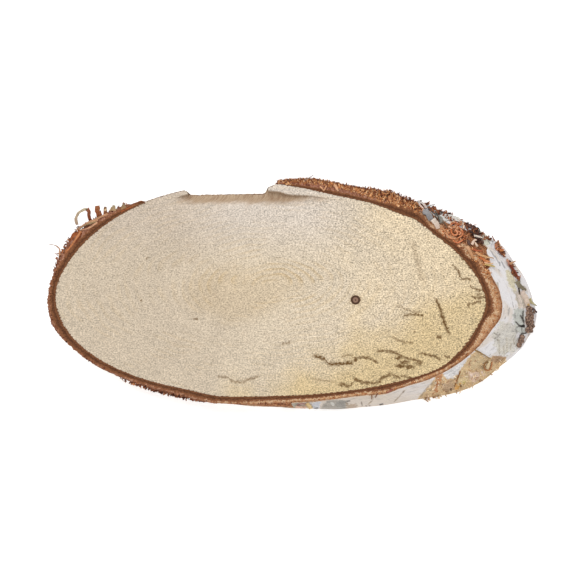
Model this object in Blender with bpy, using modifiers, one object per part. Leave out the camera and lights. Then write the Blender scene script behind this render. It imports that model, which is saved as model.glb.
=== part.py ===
"""Birch wood slice: an oval board sawn on a steep slant across a thin birch trunk.

The two saw cuts are parallel, so the side of the slice leans with the trunk: its bark looks upward
at +X and is undercut at -X. Bark is missing along a short stretch at +Y, where a scoop with torn
ends runs along the edge of the wood.

Units are metres, +Z up. The lower sawn face lies at Z = 0, and the origin is under the middle of
the slice. An angle runs round the trunk from +X, counterclockwise from above. A depth runs down from
the upper sawn face, and a radius is measured square to the trunk's axis.
"""
import math
import random

import bmesh
import bpy
from mathutils import Matrix, Vector, noise

MM = 0.001

# The two saw cuts
THICKNESS = 10.0 * MM
LEAN = math.radians(60.0)
FACE_CENTRE = Vector((-12.0 * MM, -0.6 * MM))

# The trunk, a rounded triangle that is also slightly oval
WOOD_RADIUS = 54.2 * MM
OVALNESS = 1.3 * MM
OVAL_AT = math.radians(118.0)
LOBES = 1.45 * MM
LOBE_AT = math.radians(-20.0)
OUTLINE_STEPS = 144

# How much narrower the trunk is at the lower face than at the upper one: angle, change in mm
TAPER = (
    (180, 0.0), (27, 0.0), (14, 1.5), (0, 1.6), (-12, 0.6), (-33, 0.3),
    (-49, -2.1), (-64, 0.0), (-80, 0.6), (-97, 2.1), (-125, 0.0), (-180, 0.0),
)

# The dark inner bark with its cork, thickest at the lower right
CORK_THICKNESS = 3.0 * MM
CORK_SWELL = 0.9 * MM
CORK_THICKEST_AT = math.radians(-40.0)
CORK_END = 0.35
CORK_TAPER = math.radians(11.0)
GAP = 0.4 * MM
BARE_FROM = math.radians(88.0)
BARE_TO = math.radians(-236.0)

# The white paper bark, and how far below the upper face its torn edge lies: angle, depth in mm
PAPER_THICKNESS = 0.9 * MM
PAPER_FROM = math.radians(51.0)
PAPER_TO = math.radians(-234.0)
PAPER_COLUMNS = 100
PAPER_ROWS = 5
PAPER_WAVE = 0.35 * MM
PAPER_EDGE = (
    (51, 7.4), (40, 5.0), (27, 4.2), (14, 0.4), (-72, 0.4), (-92, 5.0),
    (-125, 5.0), (-150, 1.6), (-195, 1.6), (-206, 4.4), (-234, 4.4),
)
SAW_MARGIN = 1.6 * MM
TRIM_LENGTH = 0.4
TRIM_WIDTH = 0.3

# The scoop in the upper face, between its two torn tongues of wood
SCOOP_RADIUS = 9.0 * MM
SCOOP_DEPTH = 3.5 * MM
SCOOP_AXIS_Y = 50.5 * MM
SCOOP_LEFT = -62.0 * MM
SCOOP_RIGHT = 29.0 * MM
SCOOP_RUN_IN = 14.0 * MM
SCOOP_RUN_OUT = 40.0 * MM
SCOOP_STEPS = 14
SCOOP_PLAN = (
    (-63, 40), (-63, 46.4), (-52, 49.6), (-52, 60),
    (-12, 60), (-12, 51.6), (29, 46.4), (29, 40),
)

# The rim that broke away, up to a nearly straight line between the two tongues
NOTCH_PLAN = (
    (-74, 50.2), (-53.5, 51.8), (-51, 50.1), (-12.2, 50.8), (-13.2, 51.8),
    (-12.4, 53.0), (-9, 54.4), (-3, 60), (-74, 60),
)

# The pin knot
KNOT_CENTRE = Vector((32.0 * MM, -4.3 * MM))
KNOT_RADIUS = 2.0 * MM
KNOT_GROOVE = 0.35 * MM
KNOT_STEPS = 20

# The brown burl at the right end, its lumps given in mm as place round the trunk, radius and rise
BURL_ANGLE = math.radians(-13.5)
BURL_DEPTH = 8.2 * MM
BURL_LUMPS = (
    (-8.6, 1.7, 0.4), (-7.2, 1.8, 0.9), (-5.4, 1.9, 0.2), (-3.9, 2.2, 0.7), (-2.0, 2.3, -0.2),
    (0.3, 2.7, 0.6), (2.8, 2.5, 0.1), (4.6, 2.1, 0.8), (6.8, 1.8, 0.2),
)
BURL_ROUGHNESS = 0.34
BURL_GRAIN = 1.3 * MM
BURL_RISE = 1.3 * MM
BURL_SPREAD = math.radians(13.0)
BURL_HEIGHT = 5.0 * MM

# The patch at the lower right that has lost its paper
PEEL_ANGLE = math.radians(-46.0)
PEEL_DEPTH = 9.2 * MM
PEEL_SPREAD = math.radians(10.0)
PEEL_HEIGHT = 6.0 * MM
WINDOW_REACH = 3.0 * MM

# The torn cork. Spans are in degrees, and a pair is the least and the most of what is drawn
SEED = 7
SHAG_COUNT = 150
SHAG_SPAN = (18.0, 81.0)
SHAG_LENGTH = (2.2 * MM, 3.8 * MM)
SHAG_WIDTH = (1.7 * MM, 2.8 * MM)
SHAG_CLEAR_OF_PAPER = 1.8 * MM
CRUMB_COUNT = 44
CRUMB_SPAN = (-84.0, -194.0)
CRUMB_LENGTH = (1.6 * MM, 2.5 * MM)
CRUMB_DEPTH = (0.35 * MM, 0.8 * MM)
CRUMB_WIDTH = 1.1 * MM
STRIP_COUNT = 14
STRIP_SPAN = (132.0, 157.0)
STRIP_LENGTH = (4.0 * MM, 6.2 * MM)
STRIP_DEPTH = (0.6 * MM, 1.6 * MM)
STRIP_WIDTH = 1.6 * MM
STRIP_UP = 0.3
LOOP_ANGLE = math.radians(142.0)
LOOP_RADIUS = 4.3 * MM
LOOP_WALL = 0.9 * MM
LOOP_START = math.radians(-46.0)
LOOP_SWEEP = math.radians(290.0)
LOOP_DEPTH = 3.2 * MM
LOOP_RISE = 1.2 * MM
LOOP_STEPS = 14
WHISKER_ANGLE = math.radians(157.8)
WHISKER_LENGTH = 9.0 * MM
WHISKER_WIDTH = 1.5 * MM
WHISKER_DIRECTION = Vector((-0.87, 0.5, 0.0))
ROOT_DEPTH = 0.9 * MM


def ease(value, low, high):
    """0 at low, 1 at high, and a smooth step between them."""
    t = min(max((value - low) / (high - low), 0.0), 1.0)
    return t * t * (3.0 - 2.0 * t)


def wood_radius(angle):
    """Distance from the trunk's axis to the edge of the wood."""
    oval = OVALNESS * math.cos(2.0 * (angle - OVAL_AT))
    return WOOD_RADIUS + oval + LOBES * math.cos(3.0 * (angle - LOBE_AT))


def cork_radius(angle):
    """Distance from the trunk's axis to the outside of the cork, which thins out at its two ends."""
    swell = CORK_SWELL * math.cos(angle - CORK_THICKEST_AT)
    from_start = (BARE_FROM - angle) % (2.0 * math.pi)
    to_end = min(from_start, BARE_FROM - BARE_TO - from_start)
    fullness = CORK_END + (1.0 - CORK_END) * ease(to_end, 0.0, CORK_TAPER)
    return wood_radius(angle) + (CORK_THICKNESS + swell) * fullness


def read_table(table, degrees):
    """The value at this angle, eased from one named angle of the table to the next one down."""
    value = table[0][1]
    for (start, before), (stop, after) in zip(table, table[1:]):
        if degrees <= start:
            value = before + (after - before) * ease(degrees, start, stop)
    return value * MM


def paper_edge(angle):
    """Depth of the paper's upper edge."""
    return read_table(PAPER_EDGE, math.degrees(angle))


def trunk_point(angle, radius, depth):
    """The point at this angle and radius that lies this deep below the upper face."""
    degrees = (math.degrees(angle) + 180.0) % 360.0 - 180.0
    radius -= read_table(TAPER, degrees) * depth / THICKNESS
    x = FACE_CENTRE.x + radius * math.cos(angle) / math.cos(LEAN) + depth * math.tan(LEAN)
    y = FACE_CENTRE.y + radius * math.sin(angle)
    return Vector((x, y, THICKNESS - depth))


def down_the_trunk(point, depth):
    """Where a point of the upper face comes out this deep below it."""
    across = (point.x - FACE_CENTRE.x) * math.cos(LEAN)
    up = point.y - FACE_CENTRE.y
    return trunk_point(math.atan2(up, across), math.hypot(across, up), depth)


def trunk_directions(angle):
    """The directions outward, round and down the trunk at this angle."""
    across = Vector((math.cos(LEAN), 0.0, math.sin(LEAN)))
    outward = across * math.cos(angle) + Vector((0.0, math.sin(angle), 0.0))
    around = Vector((0.0, math.cos(angle), 0.0)) - across * math.sin(angle)
    down = Vector((math.sin(LEAN), 0.0, -math.cos(LEAN)))
    return outward, around, down


def arc(radius_at, start, stop, steps):
    """Points of the upper face along one layer of the trunk."""
    angles = (start + (stop - start) * i / steps for i in range(steps + 1))
    return [trunk_point(angle, radius_at(angle), 0.0).xy for angle in angles]


def new_collection(name):
    collection = bpy.data.collections.new(name)
    bpy.context.scene.collection.children.link(collection)
    return collection


def new_object(name, mesh, collection):
    obj = bpy.data.objects.new(name, mesh)
    collection.objects.link(obj)
    return obj


def from_bmesh(name, bm, collection):
    """Store a bmesh as an object and free it."""
    mesh = bpy.data.meshes.new(name)
    bm.to_mesh(mesh)
    bm.free()
    return new_object(name, mesh, collection)


def evaluated_mesh(obj):
    """A copy of the object's mesh as its modifiers leave it."""
    bpy.context.view_layer.update()
    depsgraph = bpy.context.evaluated_depsgraph_get()
    return bpy.data.meshes.new_from_object(obj.evaluated_get(depsgraph))


def curve_mesh(name, curve, collection):
    """Turn a curve into a closed mesh object."""
    source = new_object(name + "_curve", curve, collection)
    mesh = evaluated_mesh(source)
    bpy.data.objects.remove(source)
    bm = bmesh.new()
    bm.from_mesh(mesh)
    bmesh.ops.remove_doubles(bm, verts=bm.verts, dist=0.001 * MM)
    bm.to_mesh(mesh)
    bm.free()
    return new_object(name, mesh, collection)


def flat_outline(name, outline, height, collection):
    """A filled outline, extruded to this height about Z = 0."""
    curve = bpy.data.curves.new(name, "CURVE")
    curve.dimensions = "2D"
    curve.fill_mode = "BOTH"
    curve.extrude = height / 2.0
    spline = curve.splines.new("POLY")
    spline.points.add(len(outline) - 1)
    for point, (x, y) in zip(spline.points, outline):
        point.co = (x, y, 0.0, 1.0)
    spline.use_cyclic_u = True
    return curve_mesh(name, curve, collection)


def in_metres(plan):
    return [(x * MM, y * MM) for x, y in plan]


def slab(name, outline, top, bottom, collection):
    """An outline drawn on the upper face, carried down the leaning trunk between two depths."""
    obj = flat_outline(name, outline, bottom - top, collection)
    for vert in obj.data.vertices:
        vert.co = down_the_trunk(vert.co, top if vert.co.z > 0.0 else bottom)
    return obj


def boolean(obj, operation, cutter, solver="EXACT"):
    """Combine the object with a cutter; the wrinkled paper needs the manifold solver."""
    modifier = obj.modifiers.new(cutter.name, "BOOLEAN")
    modifier.operation = operation
    modifier.solver = solver
    modifier.object = cutter


def keep_main_body(mesh):
    """Drop loose scraps, and fill hollows that fusing sealed, by keeping the largest shell alone."""
    bm = bmesh.new()
    bm.from_mesh(mesh)
    unseen = set(bm.faces)
    shells = []
    while unseen:
        shell = {unseen.pop()}
        front = list(shell)
        while front:
            face = front.pop()
            found = {other for edge in face.edges for other in edge.link_faces} & unseen
            unseen -= found
            shell |= found
            front.extend(found)
        shells.append(shell)
    shells.sort(key=len)
    scraps = [face for shell in shells[:-1] for face in shell]
    bmesh.ops.delete(bm, geom=scraps, context="FACES")
    bm.to_mesh(mesh)
    bm.free()


def fuse(obj, pieces, seat, trim):
    """Join a collection of loose pieces to this object, then trim it to its seat and its height."""
    modifier = obj.modifiers.new("fused", "BOOLEAN")
    modifier.operation = "UNION"
    modifier.solver = "EXACT"
    modifier.operand_type = "COLLECTION"
    modifier.collection = pieces
    boolean(obj, "DIFFERENCE", seat)
    boolean(obj, "INTERSECT", trim)
    mesh = evaluated_mesh(obj)
    obj.modifiers.clear()
    keep_main_body(mesh)
    obj.data = mesh
    for piece in list(pieces.objects):
        bpy.data.objects.remove(piece)
    bpy.data.collections.remove(pieces)


def give_material(obj, name, color, roughness):
    """A plain Principled material; nothing in the slice is metal."""
    material = bpy.data.materials.new(name)
    material.use_nodes = True
    shader = material.node_tree.nodes["Principled BSDF"]
    shader.inputs["Base Color"].default_value = (*color, 1.0)
    shader.inputs["Roughness"].default_value = roughness
    shader.inputs["Metallic"].default_value = 0.0
    obj.data.materials.clear()
    obj.data.materials.append(material)


def hide_cutter(obj):
    obj.hide_render = True
    obj.display_type = "WIRE"


def make_trim(name, top, cutters):
    """The space that bark is trimmed to, from the lower saw cut up to this height."""
    bm = bmesh.new()
    bmesh.ops.create_cube(bm, size=1.0, matrix=Matrix.Diagonal((TRIM_LENGTH, TRIM_WIDTH, top, 1.0)))
    bmesh.ops.translate(bm, verts=bm.verts, vec=(0.0, 0.0, top / 2.0))
    trim = from_bmesh(name, bm, cutters)
    hide_cutter(trim)
    return trim


def scoop_depth(x):
    """How deep the scoop is at this X: it starts quickly at the left and fades to the right."""
    start = ease(x, SCOOP_LEFT, SCOOP_LEFT + SCOOP_RUN_IN)
    fade = ease(x, SCOOP_RIGHT, SCOOP_RIGHT - SCOOP_RUN_OUT)
    return SCOOP_DEPTH * start * fade


def make_scoop(cutters):
    """A long round cutter that dips into the face, held to the plan between the torn tongues."""
    curve = bpy.data.curves.new("scoop", "CURVE")
    curve.dimensions = "3D"
    curve.bevel_depth = SCOOP_RADIUS
    curve.bevel_resolution = 4
    curve.use_fill_caps = True
    spline = curve.splines.new("POLY")
    spline.points.add(SCOOP_STEPS)
    for i, point in enumerate(spline.points):
        x = SCOOP_LEFT + (SCOOP_RIGHT - SCOOP_LEFT) * i / SCOOP_STEPS
        height = THICKNESS + SCOOP_RADIUS + 0.02 * MM - scoop_depth(x)
        point.co = (x, SCOOP_AXIS_Y, height, 1.0)
    scoop = curve_mesh("scoop", curve, cutters)
    plan = flat_outline("scoop_plan", in_metres(SCOOP_PLAN), 4.0 * THICKNESS, cutters)
    boolean(scoop, "INTERSECT", plan)
    hide_cutter(plan)
    return scoop


def make_notch(cutters):
    """Everything beyond the broken rim, cut square through the slice."""
    return flat_outline("notch", in_metres(NOTCH_PLAN), 4.0 * THICKNESS, cutters)


def make_knot_groove(cutters):
    """A ring for the groove round the pin knot."""
    curve = bpy.data.curves.new("knot_groove", "CURVE")
    curve.dimensions = "3D"
    curve.bevel_depth = KNOT_GROOVE
    curve.bevel_resolution = 1
    spline = curve.splines.new("POLY")
    spline.points.add(KNOT_STEPS - 1)
    spline.use_cyclic_u = True
    for i, point in enumerate(spline.points):
        turn = 2.0 * math.pi * i / KNOT_STEPS
        x = KNOT_CENTRE.x + KNOT_RADIUS * math.cos(turn)
        y = KNOT_CENTRE.y + KNOT_RADIUS * math.sin(turn)
        point.co = (x, y, THICKNESS + 0.05 * MM, 1.0)
    return curve_mesh("knot_groove", curve, cutters)


def make_wood(parts, cutters):
    """The oval of pale wood, with its scoop, broken rim and pin knot."""
    outline = arc(wood_radius, 0.0, 2.0 * math.pi, OUTLINE_STEPS)[:-1]
    wood = slab("wood", outline, 0.0, THICKNESS, parts)
    for cutter in (make_scoop(cutters), make_notch(cutters), make_knot_groove(cutters)):
        hide_cutter(cutter)
        boolean(wood, "DIFFERENCE", cutter)
    give_material(wood, "sawn_birch", (0.68, 0.55, 0.39), 0.75)


def root_radius(angle):
    """How far out the root of a fibre sits, well inside the cork."""
    outside = cork_radius(angle)
    return outside - min(ROOT_DEPTH, 0.4 * (outside - wood_radius(angle)))


def add_splinter(angle, depth, direction, length, width, loose):
    """One torn fibre: a four-sided taper whose root is sunk into the cork."""
    root = trunk_point(angle, root_radius(angle), depth)
    turn = direction.to_track_quat("Z", "Y").to_matrix().to_4x4()
    middle = Matrix.Translation((0.0, 0.0, length / 2.0))
    bm = bmesh.new()
    bmesh.ops.create_cone(
        bm, cap_ends=True, segments=4, radius1=width / 2.0, radius2=width / 6.0, depth=length,
        matrix=Matrix.Translation(root) @ turn @ middle,
    )
    from_bmesh("splinter", bm, loose)


def add_shag(draw, loose):
    """The fringe of torn cork at the upper right, on all that the paper leaves bare, below the saw cut."""
    for _ in range(SHAG_COUNT):
        angle = math.radians(draw.uniform(*SHAG_SPAN))
        over_paper = angle < PAPER_FROM + math.radians(4.0)
        lowest = paper_edge(angle) - SHAG_CLEAR_OF_PAPER if over_paper else THICKNESS
        droop = draw.uniform(-0.3, 0.1 if over_paper else 0.8)
        outward, around, down = trunk_directions(angle)
        lean = (outward + down * droop + around * draw.uniform(-0.5, 0.5)).normalized()
        length = draw.uniform(*SHAG_LENGTH)
        width = draw.uniform(*SHAG_WIDTH)
        depth = max(lowest * draw.random(), width / 2.0)
        highest_slope = (depth - width / 4.0) / length
        lean.z = min(lean.z, highest_slope)
        add_splinter(angle, depth, lean.normalized(), length, width, loose)


def level_directions(angle):
    """The directions outward and round the trunk, as a saw leaves fibres lying in its cut."""
    outward, around, _ = trunk_directions(angle)
    return Vector((outward.x, outward.y, 0.0)).normalized(), around


def add_crumbs(draw, loose):
    """Small teeth of cork that the saw left along the undercut edge."""
    first, last = CRUMB_SPAN
    for i in range(CRUMB_COUNT):
        part_way = (i + draw.uniform(-0.4, 0.4)) / CRUMB_COUNT
        angle = math.radians(first + (last - first) * part_way)
        outward, around = level_directions(angle)
        lean = outward + around * draw.uniform(-0.4, 0.4)
        length = draw.uniform(*CRUMB_LENGTH)
        depth = draw.uniform(*CRUMB_DEPTH)
        add_splinter(angle, depth, lean.normalized(), length, CRUMB_WIDTH, loose)


def add_strips(draw, loose):
    """The strips of cork that stand out and a little up at the upper left, and the long whisker."""
    first, last = STRIP_SPAN
    for i in range(STRIP_COUNT):
        angle = math.radians(first + (last - first) * i / STRIP_COUNT + draw.uniform(-0.8, 0.8))
        outward, around = level_directions(angle)
        lean = outward + around * draw.uniform(-0.9, 0.1) + Vector((0.0, 0.0, draw.uniform(0.0, STRIP_UP)))
        length = draw.uniform(*STRIP_LENGTH)
        depth = draw.uniform(*STRIP_DEPTH)
        add_splinter(angle, depth, lean.normalized(), length, STRIP_WIDTH, loose)
    whisker = WHISKER_DIRECTION.normalized()
    add_splinter(WHISKER_ANGLE, STRIP_DEPTH[0], whisker, WHISKER_LENGTH, WHISKER_WIDTH, loose)


def add_loop(loose):
    """A strip of bark curled into an open ring, which stands out and above the face at the upper left."""
    root = trunk_point(LOOP_ANGLE, root_radius(LOOP_ANGLE), 0.0).xy
    turns = [LOOP_START + LOOP_SWEEP * i / LOOP_STEPS for i in range(LOOP_STEPS + 1)]
    ways = [Vector((math.cos(turn), math.sin(turn))) for turn in turns]
    centre = root - ways[0] * LOOP_RADIUS
    outer = [centre + way * LOOP_RADIUS for way in ways]
    inner = [centre + way * (LOOP_RADIUS - LOOP_WALL) for way in reversed(ways)]
    slab("loop", outer + inner, -LOOP_RISE, LOOP_DEPTH, loose)


def add_burl(loose):
    """Brown lumps of an old branch scar, standing out through the paper at the right end."""
    for i, (along, radius, rise) in enumerate(BURL_LUMPS):
        angle = BURL_ANGLE + along * MM / cork_radius(BURL_ANGLE)
        bm = bmesh.new()
        bmesh.ops.create_icosphere(bm, subdivisions=2, radius=radius * MM)
        own_noise = Vector((9.0 * i, 0.0, 0.0))
        for vert in bm.verts:
            vert.co *= 1.0 + BURL_ROUGHNESS * noise.noise(vert.co / BURL_GRAIN + own_noise)
        centre = trunk_point(angle, cork_radius(angle) + BURL_RISE, BURL_DEPTH - rise * MM)
        bmesh.ops.translate(bm, verts=bm.verts, vec=centre)
        from_bmesh("burl_lump", bm, loose)


def make_inner_bark(parts, cutters):
    """The dark bast and cork: an open band round the wood, with everything torn out of it."""
    draw = random.Random(SEED)
    steps = round(OUTLINE_STEPS * (BARE_FROM - BARE_TO) / (2.0 * math.pi))
    outline = arc(cork_radius, BARE_FROM, BARE_TO, steps) + arc(wood_radius, BARE_TO, BARE_FROM, steps)
    bark = slab("inner_bark", outline, 0.0, THICKNESS + SAW_MARGIN, parts)
    clear_of_wood = arc(lambda angle: wood_radius(angle) + GAP, 0.0, 2.0 * math.pi, OUTLINE_STEPS)[:-1]
    seat = slab("seat", clear_of_wood, -2.0 * SAW_MARGIN, THICKNESS + 2.0 * SAW_MARGIN, cutters)
    hide_cutter(seat)
    curl_room = make_trim("curl_room", THICKNESS + LOOP_RISE, cutters)
    loose = new_collection("torn_bark")
    add_shag(draw, loose)
    add_crumbs(draw, loose)
    add_strips(draw, loose)
    add_loop(loose)
    add_burl(loose)
    fuse(bark, loose, seat, curl_room)
    give_material(bark, "brown_bark", (0.24, 0.10, 0.045), 0.85)


def make_bare_window(name, angle, depth, spread, height, cutters):
    """A ragged round cutter, bent along the bark, for a place that the paper has left."""
    bm = bmesh.new()
    bmesh.ops.create_cone(bm, cap_ends=True, segments=22, radius1=1.0, radius2=1.0, depth=2.0)
    for vert in bm.verts:
        turn = math.atan2(vert.co.y, vert.co.x)
        ragged = 1.0 + 0.13 * math.sin(3.0 * turn + 1.0) + 0.07 * math.sin(7.0 * turn)
        here = angle + vert.co.x * ragged * spread
        radius = cork_radius(here) + vert.co.z * WINDOW_REACH
        vert.co = trunk_point(here, radius, depth - vert.co.y * ragged * height)
    window = from_bmesh(name, bm, cutters)
    hide_cutter(window)
    return window


def make_outer_bark(parts, cutters, saw):
    """The white paper bark: a thin wrinkled sheet round the cork, with its torn edges."""
    bm = bmesh.new()
    bmesh.ops.create_grid(bm, x_segments=PAPER_COLUMNS, y_segments=PAPER_ROWS, size=1.0)
    for vert in bm.verts:
        angle = PAPER_TO + (PAPER_FROM - PAPER_TO) * (vert.co.x + 1.0) / 2.0
        top = paper_edge(angle)
        depth = top + (THICKNESS + SAW_MARGIN - top) * (1.0 - vert.co.y) / 2.0
        wave = noise.noise(Vector((angle * 9.0, depth * 160.0, 0.0)))
        radius = cork_radius(angle) + GAP + PAPER_WAVE * (0.5 + 0.5 * wave)
        vert.co = trunk_point(angle, radius, depth)
    bark = from_bmesh("outer_bark", bm, parts)
    wall = bark.modifiers.new("paper", "SOLIDIFY")
    wall.thickness = PAPER_THICKNESS
    wall.offset = 1.0
    burl = make_bare_window("burl_window", BURL_ANGLE, BURL_DEPTH, BURL_SPREAD, BURL_HEIGHT, cutters)
    peel = make_bare_window("peel_window", PEEL_ANGLE, PEEL_DEPTH, PEEL_SPREAD, PEEL_HEIGHT, cutters)
    boolean(bark, "DIFFERENCE", burl, "MANIFOLD")
    boolean(bark, "DIFFERENCE", peel, "MANIFOLD")
    boolean(bark, "INTERSECT", saw, "MANIFOLD")
    give_material(bark, "white_birch_paper", (0.66, 0.64, 0.61), 0.6)


def main():
    for obj in list(bpy.data.objects):
        bpy.data.objects.remove(obj)
    parts = new_collection("birch_wood_slice")
    cutters = new_collection("cutters")
    saw = make_trim("saw_slab", THICKNESS, cutters)
    make_wood(parts, cutters)
    make_inner_bark(parts, cutters)
    make_outer_bark(parts, cutters, saw)


main()
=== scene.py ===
"""The looks of a birch wood slice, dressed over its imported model.

The slice is an oval board sawn on a steep slant across a thin birch trunk, with its ragged bark. All
that grows on it is placed in the trunk's own terms: an angle round the trunk from +X, counterclockwise
from above, a radius square to the trunk's axis, and a depth straight down from the upper sawn face.
"""
import logging
import math
import random
from contextlib import contextmanager
from dataclasses import dataclass, field
from enum import Enum
from functools import lru_cache
from typing import Any, Callable, Iterator, Sequence

import bmesh
import bpy
from mathutils import Matrix, Quaternion, Vector, noise


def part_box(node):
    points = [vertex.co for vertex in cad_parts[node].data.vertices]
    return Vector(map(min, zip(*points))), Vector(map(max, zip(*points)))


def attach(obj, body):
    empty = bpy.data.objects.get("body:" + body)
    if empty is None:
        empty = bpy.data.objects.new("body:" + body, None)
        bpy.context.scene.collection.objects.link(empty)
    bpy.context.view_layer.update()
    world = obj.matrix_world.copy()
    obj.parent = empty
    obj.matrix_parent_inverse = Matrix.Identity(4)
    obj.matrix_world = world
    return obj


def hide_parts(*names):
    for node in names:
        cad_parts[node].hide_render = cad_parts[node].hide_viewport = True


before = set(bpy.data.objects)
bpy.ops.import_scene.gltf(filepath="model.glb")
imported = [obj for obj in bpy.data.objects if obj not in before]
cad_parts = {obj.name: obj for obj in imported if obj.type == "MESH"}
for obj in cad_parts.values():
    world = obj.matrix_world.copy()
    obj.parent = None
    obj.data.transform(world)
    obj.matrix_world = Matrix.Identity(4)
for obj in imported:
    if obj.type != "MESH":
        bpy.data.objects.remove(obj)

LOG = logging.getLogger("birch_slice")
MM = 0.001
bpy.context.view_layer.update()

Object = bpy.types.Object
Material = bpy.types.Material
Rgb = tuple[int, int, int]
Rgba = tuple[float, float, float, float]
Spot = tuple[float, float]
Place = tuple[float, float, float]
Table = Sequence[Spot]


class Slot(Enum):
    """The record's material slots."""

    WOOD = "sawn_birch"
    BARK = "brown_bark"
    PAPER = "white_birch_paper"


def ease(value: float, low: float, high: float) -> float:
    """Step smoothly from 0 at low to 1 at high.

    Args:
        value: The value to place between the two ends.
        low: Where the step starts; it may be the larger end.
        high: Where the step is complete.

    Returns:
        The height of the step, from 0 to 1.
    """
    t = min(max((value - low) / (high - low), 0.0), 1.0)
    return t * t * (3.0 - 2.0 * t)


def read_table(table: Table, at: float) -> float:
    """Read a table of places and values, easing from each row to the next.

    Args:
        table: Rows of place and value, with the places in descending order.
        at: The place to read.

    Returns:
        The value there.
    """
    value = table[0][1]
    for (start, before), (stop, after) in zip(table, table[1:]):
        if at <= start:
            value = before + (after - before) * ease(at, start, stop)
    return value


@lru_cache(maxsize=None)
def glide(table: Table, at: float) -> float:
    """Read a table of places and values along a smooth curve through its rows.

    Args:
        table: Rows of place and value, with the places in descending order.
        at: The place to read.

    Returns:
        The value there.
    """
    last = len(table) - 1
    if at >= table[0][0] or at <= table[last][0]:
        return table[0][1] if at >= table[0][0] else table[last][1]
    row = next(i for i in range(last) if table[i + 1][0] <= at)
    slopes = []
    for middle in (row, row + 1):
        (start, before), (stop, after) = table[max(middle - 1, 0)], table[min(middle + 1, last)]
        slopes.append((after - before) / (stop - start))
    (start, before), (stop, after) = table[row], table[row + 1]
    span, t = stop - start, (at - start) / (stop - start)
    rise = (3.0 - 2.0 * t) * t * t
    bend = span * (slopes[0] * t * (1.0 - t) ** 2 - slopes[1] * t * t * (1.0 - t))
    return before + (after - before) * rise + bend


def rough(place: Vector, grain: float, seed: float = 0.0) -> float:
    """Give smooth noise from about -1 to 1.

    Args:
        place: The point that is asked for, in metres.
        grain: The size of the lumps, in metres.
        seed: A number that picks another pattern.

    Returns:
        The noise at that point.
    """
    return noise.noise(place / grain + Vector((17.3 * seed, 5.1 * seed, 9.7 * seed)))


def linear(color: Rgb) -> Rgba:
    """Turn a display colour from 0 to 255 into a shader's linear colour."""
    parts = [(c / 255.0 / 12.92) if c <= 10 else ((c / 255.0 + 0.055) / 1.055) ** 2.4 for c in color]
    return (*parts, 1.0)


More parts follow.
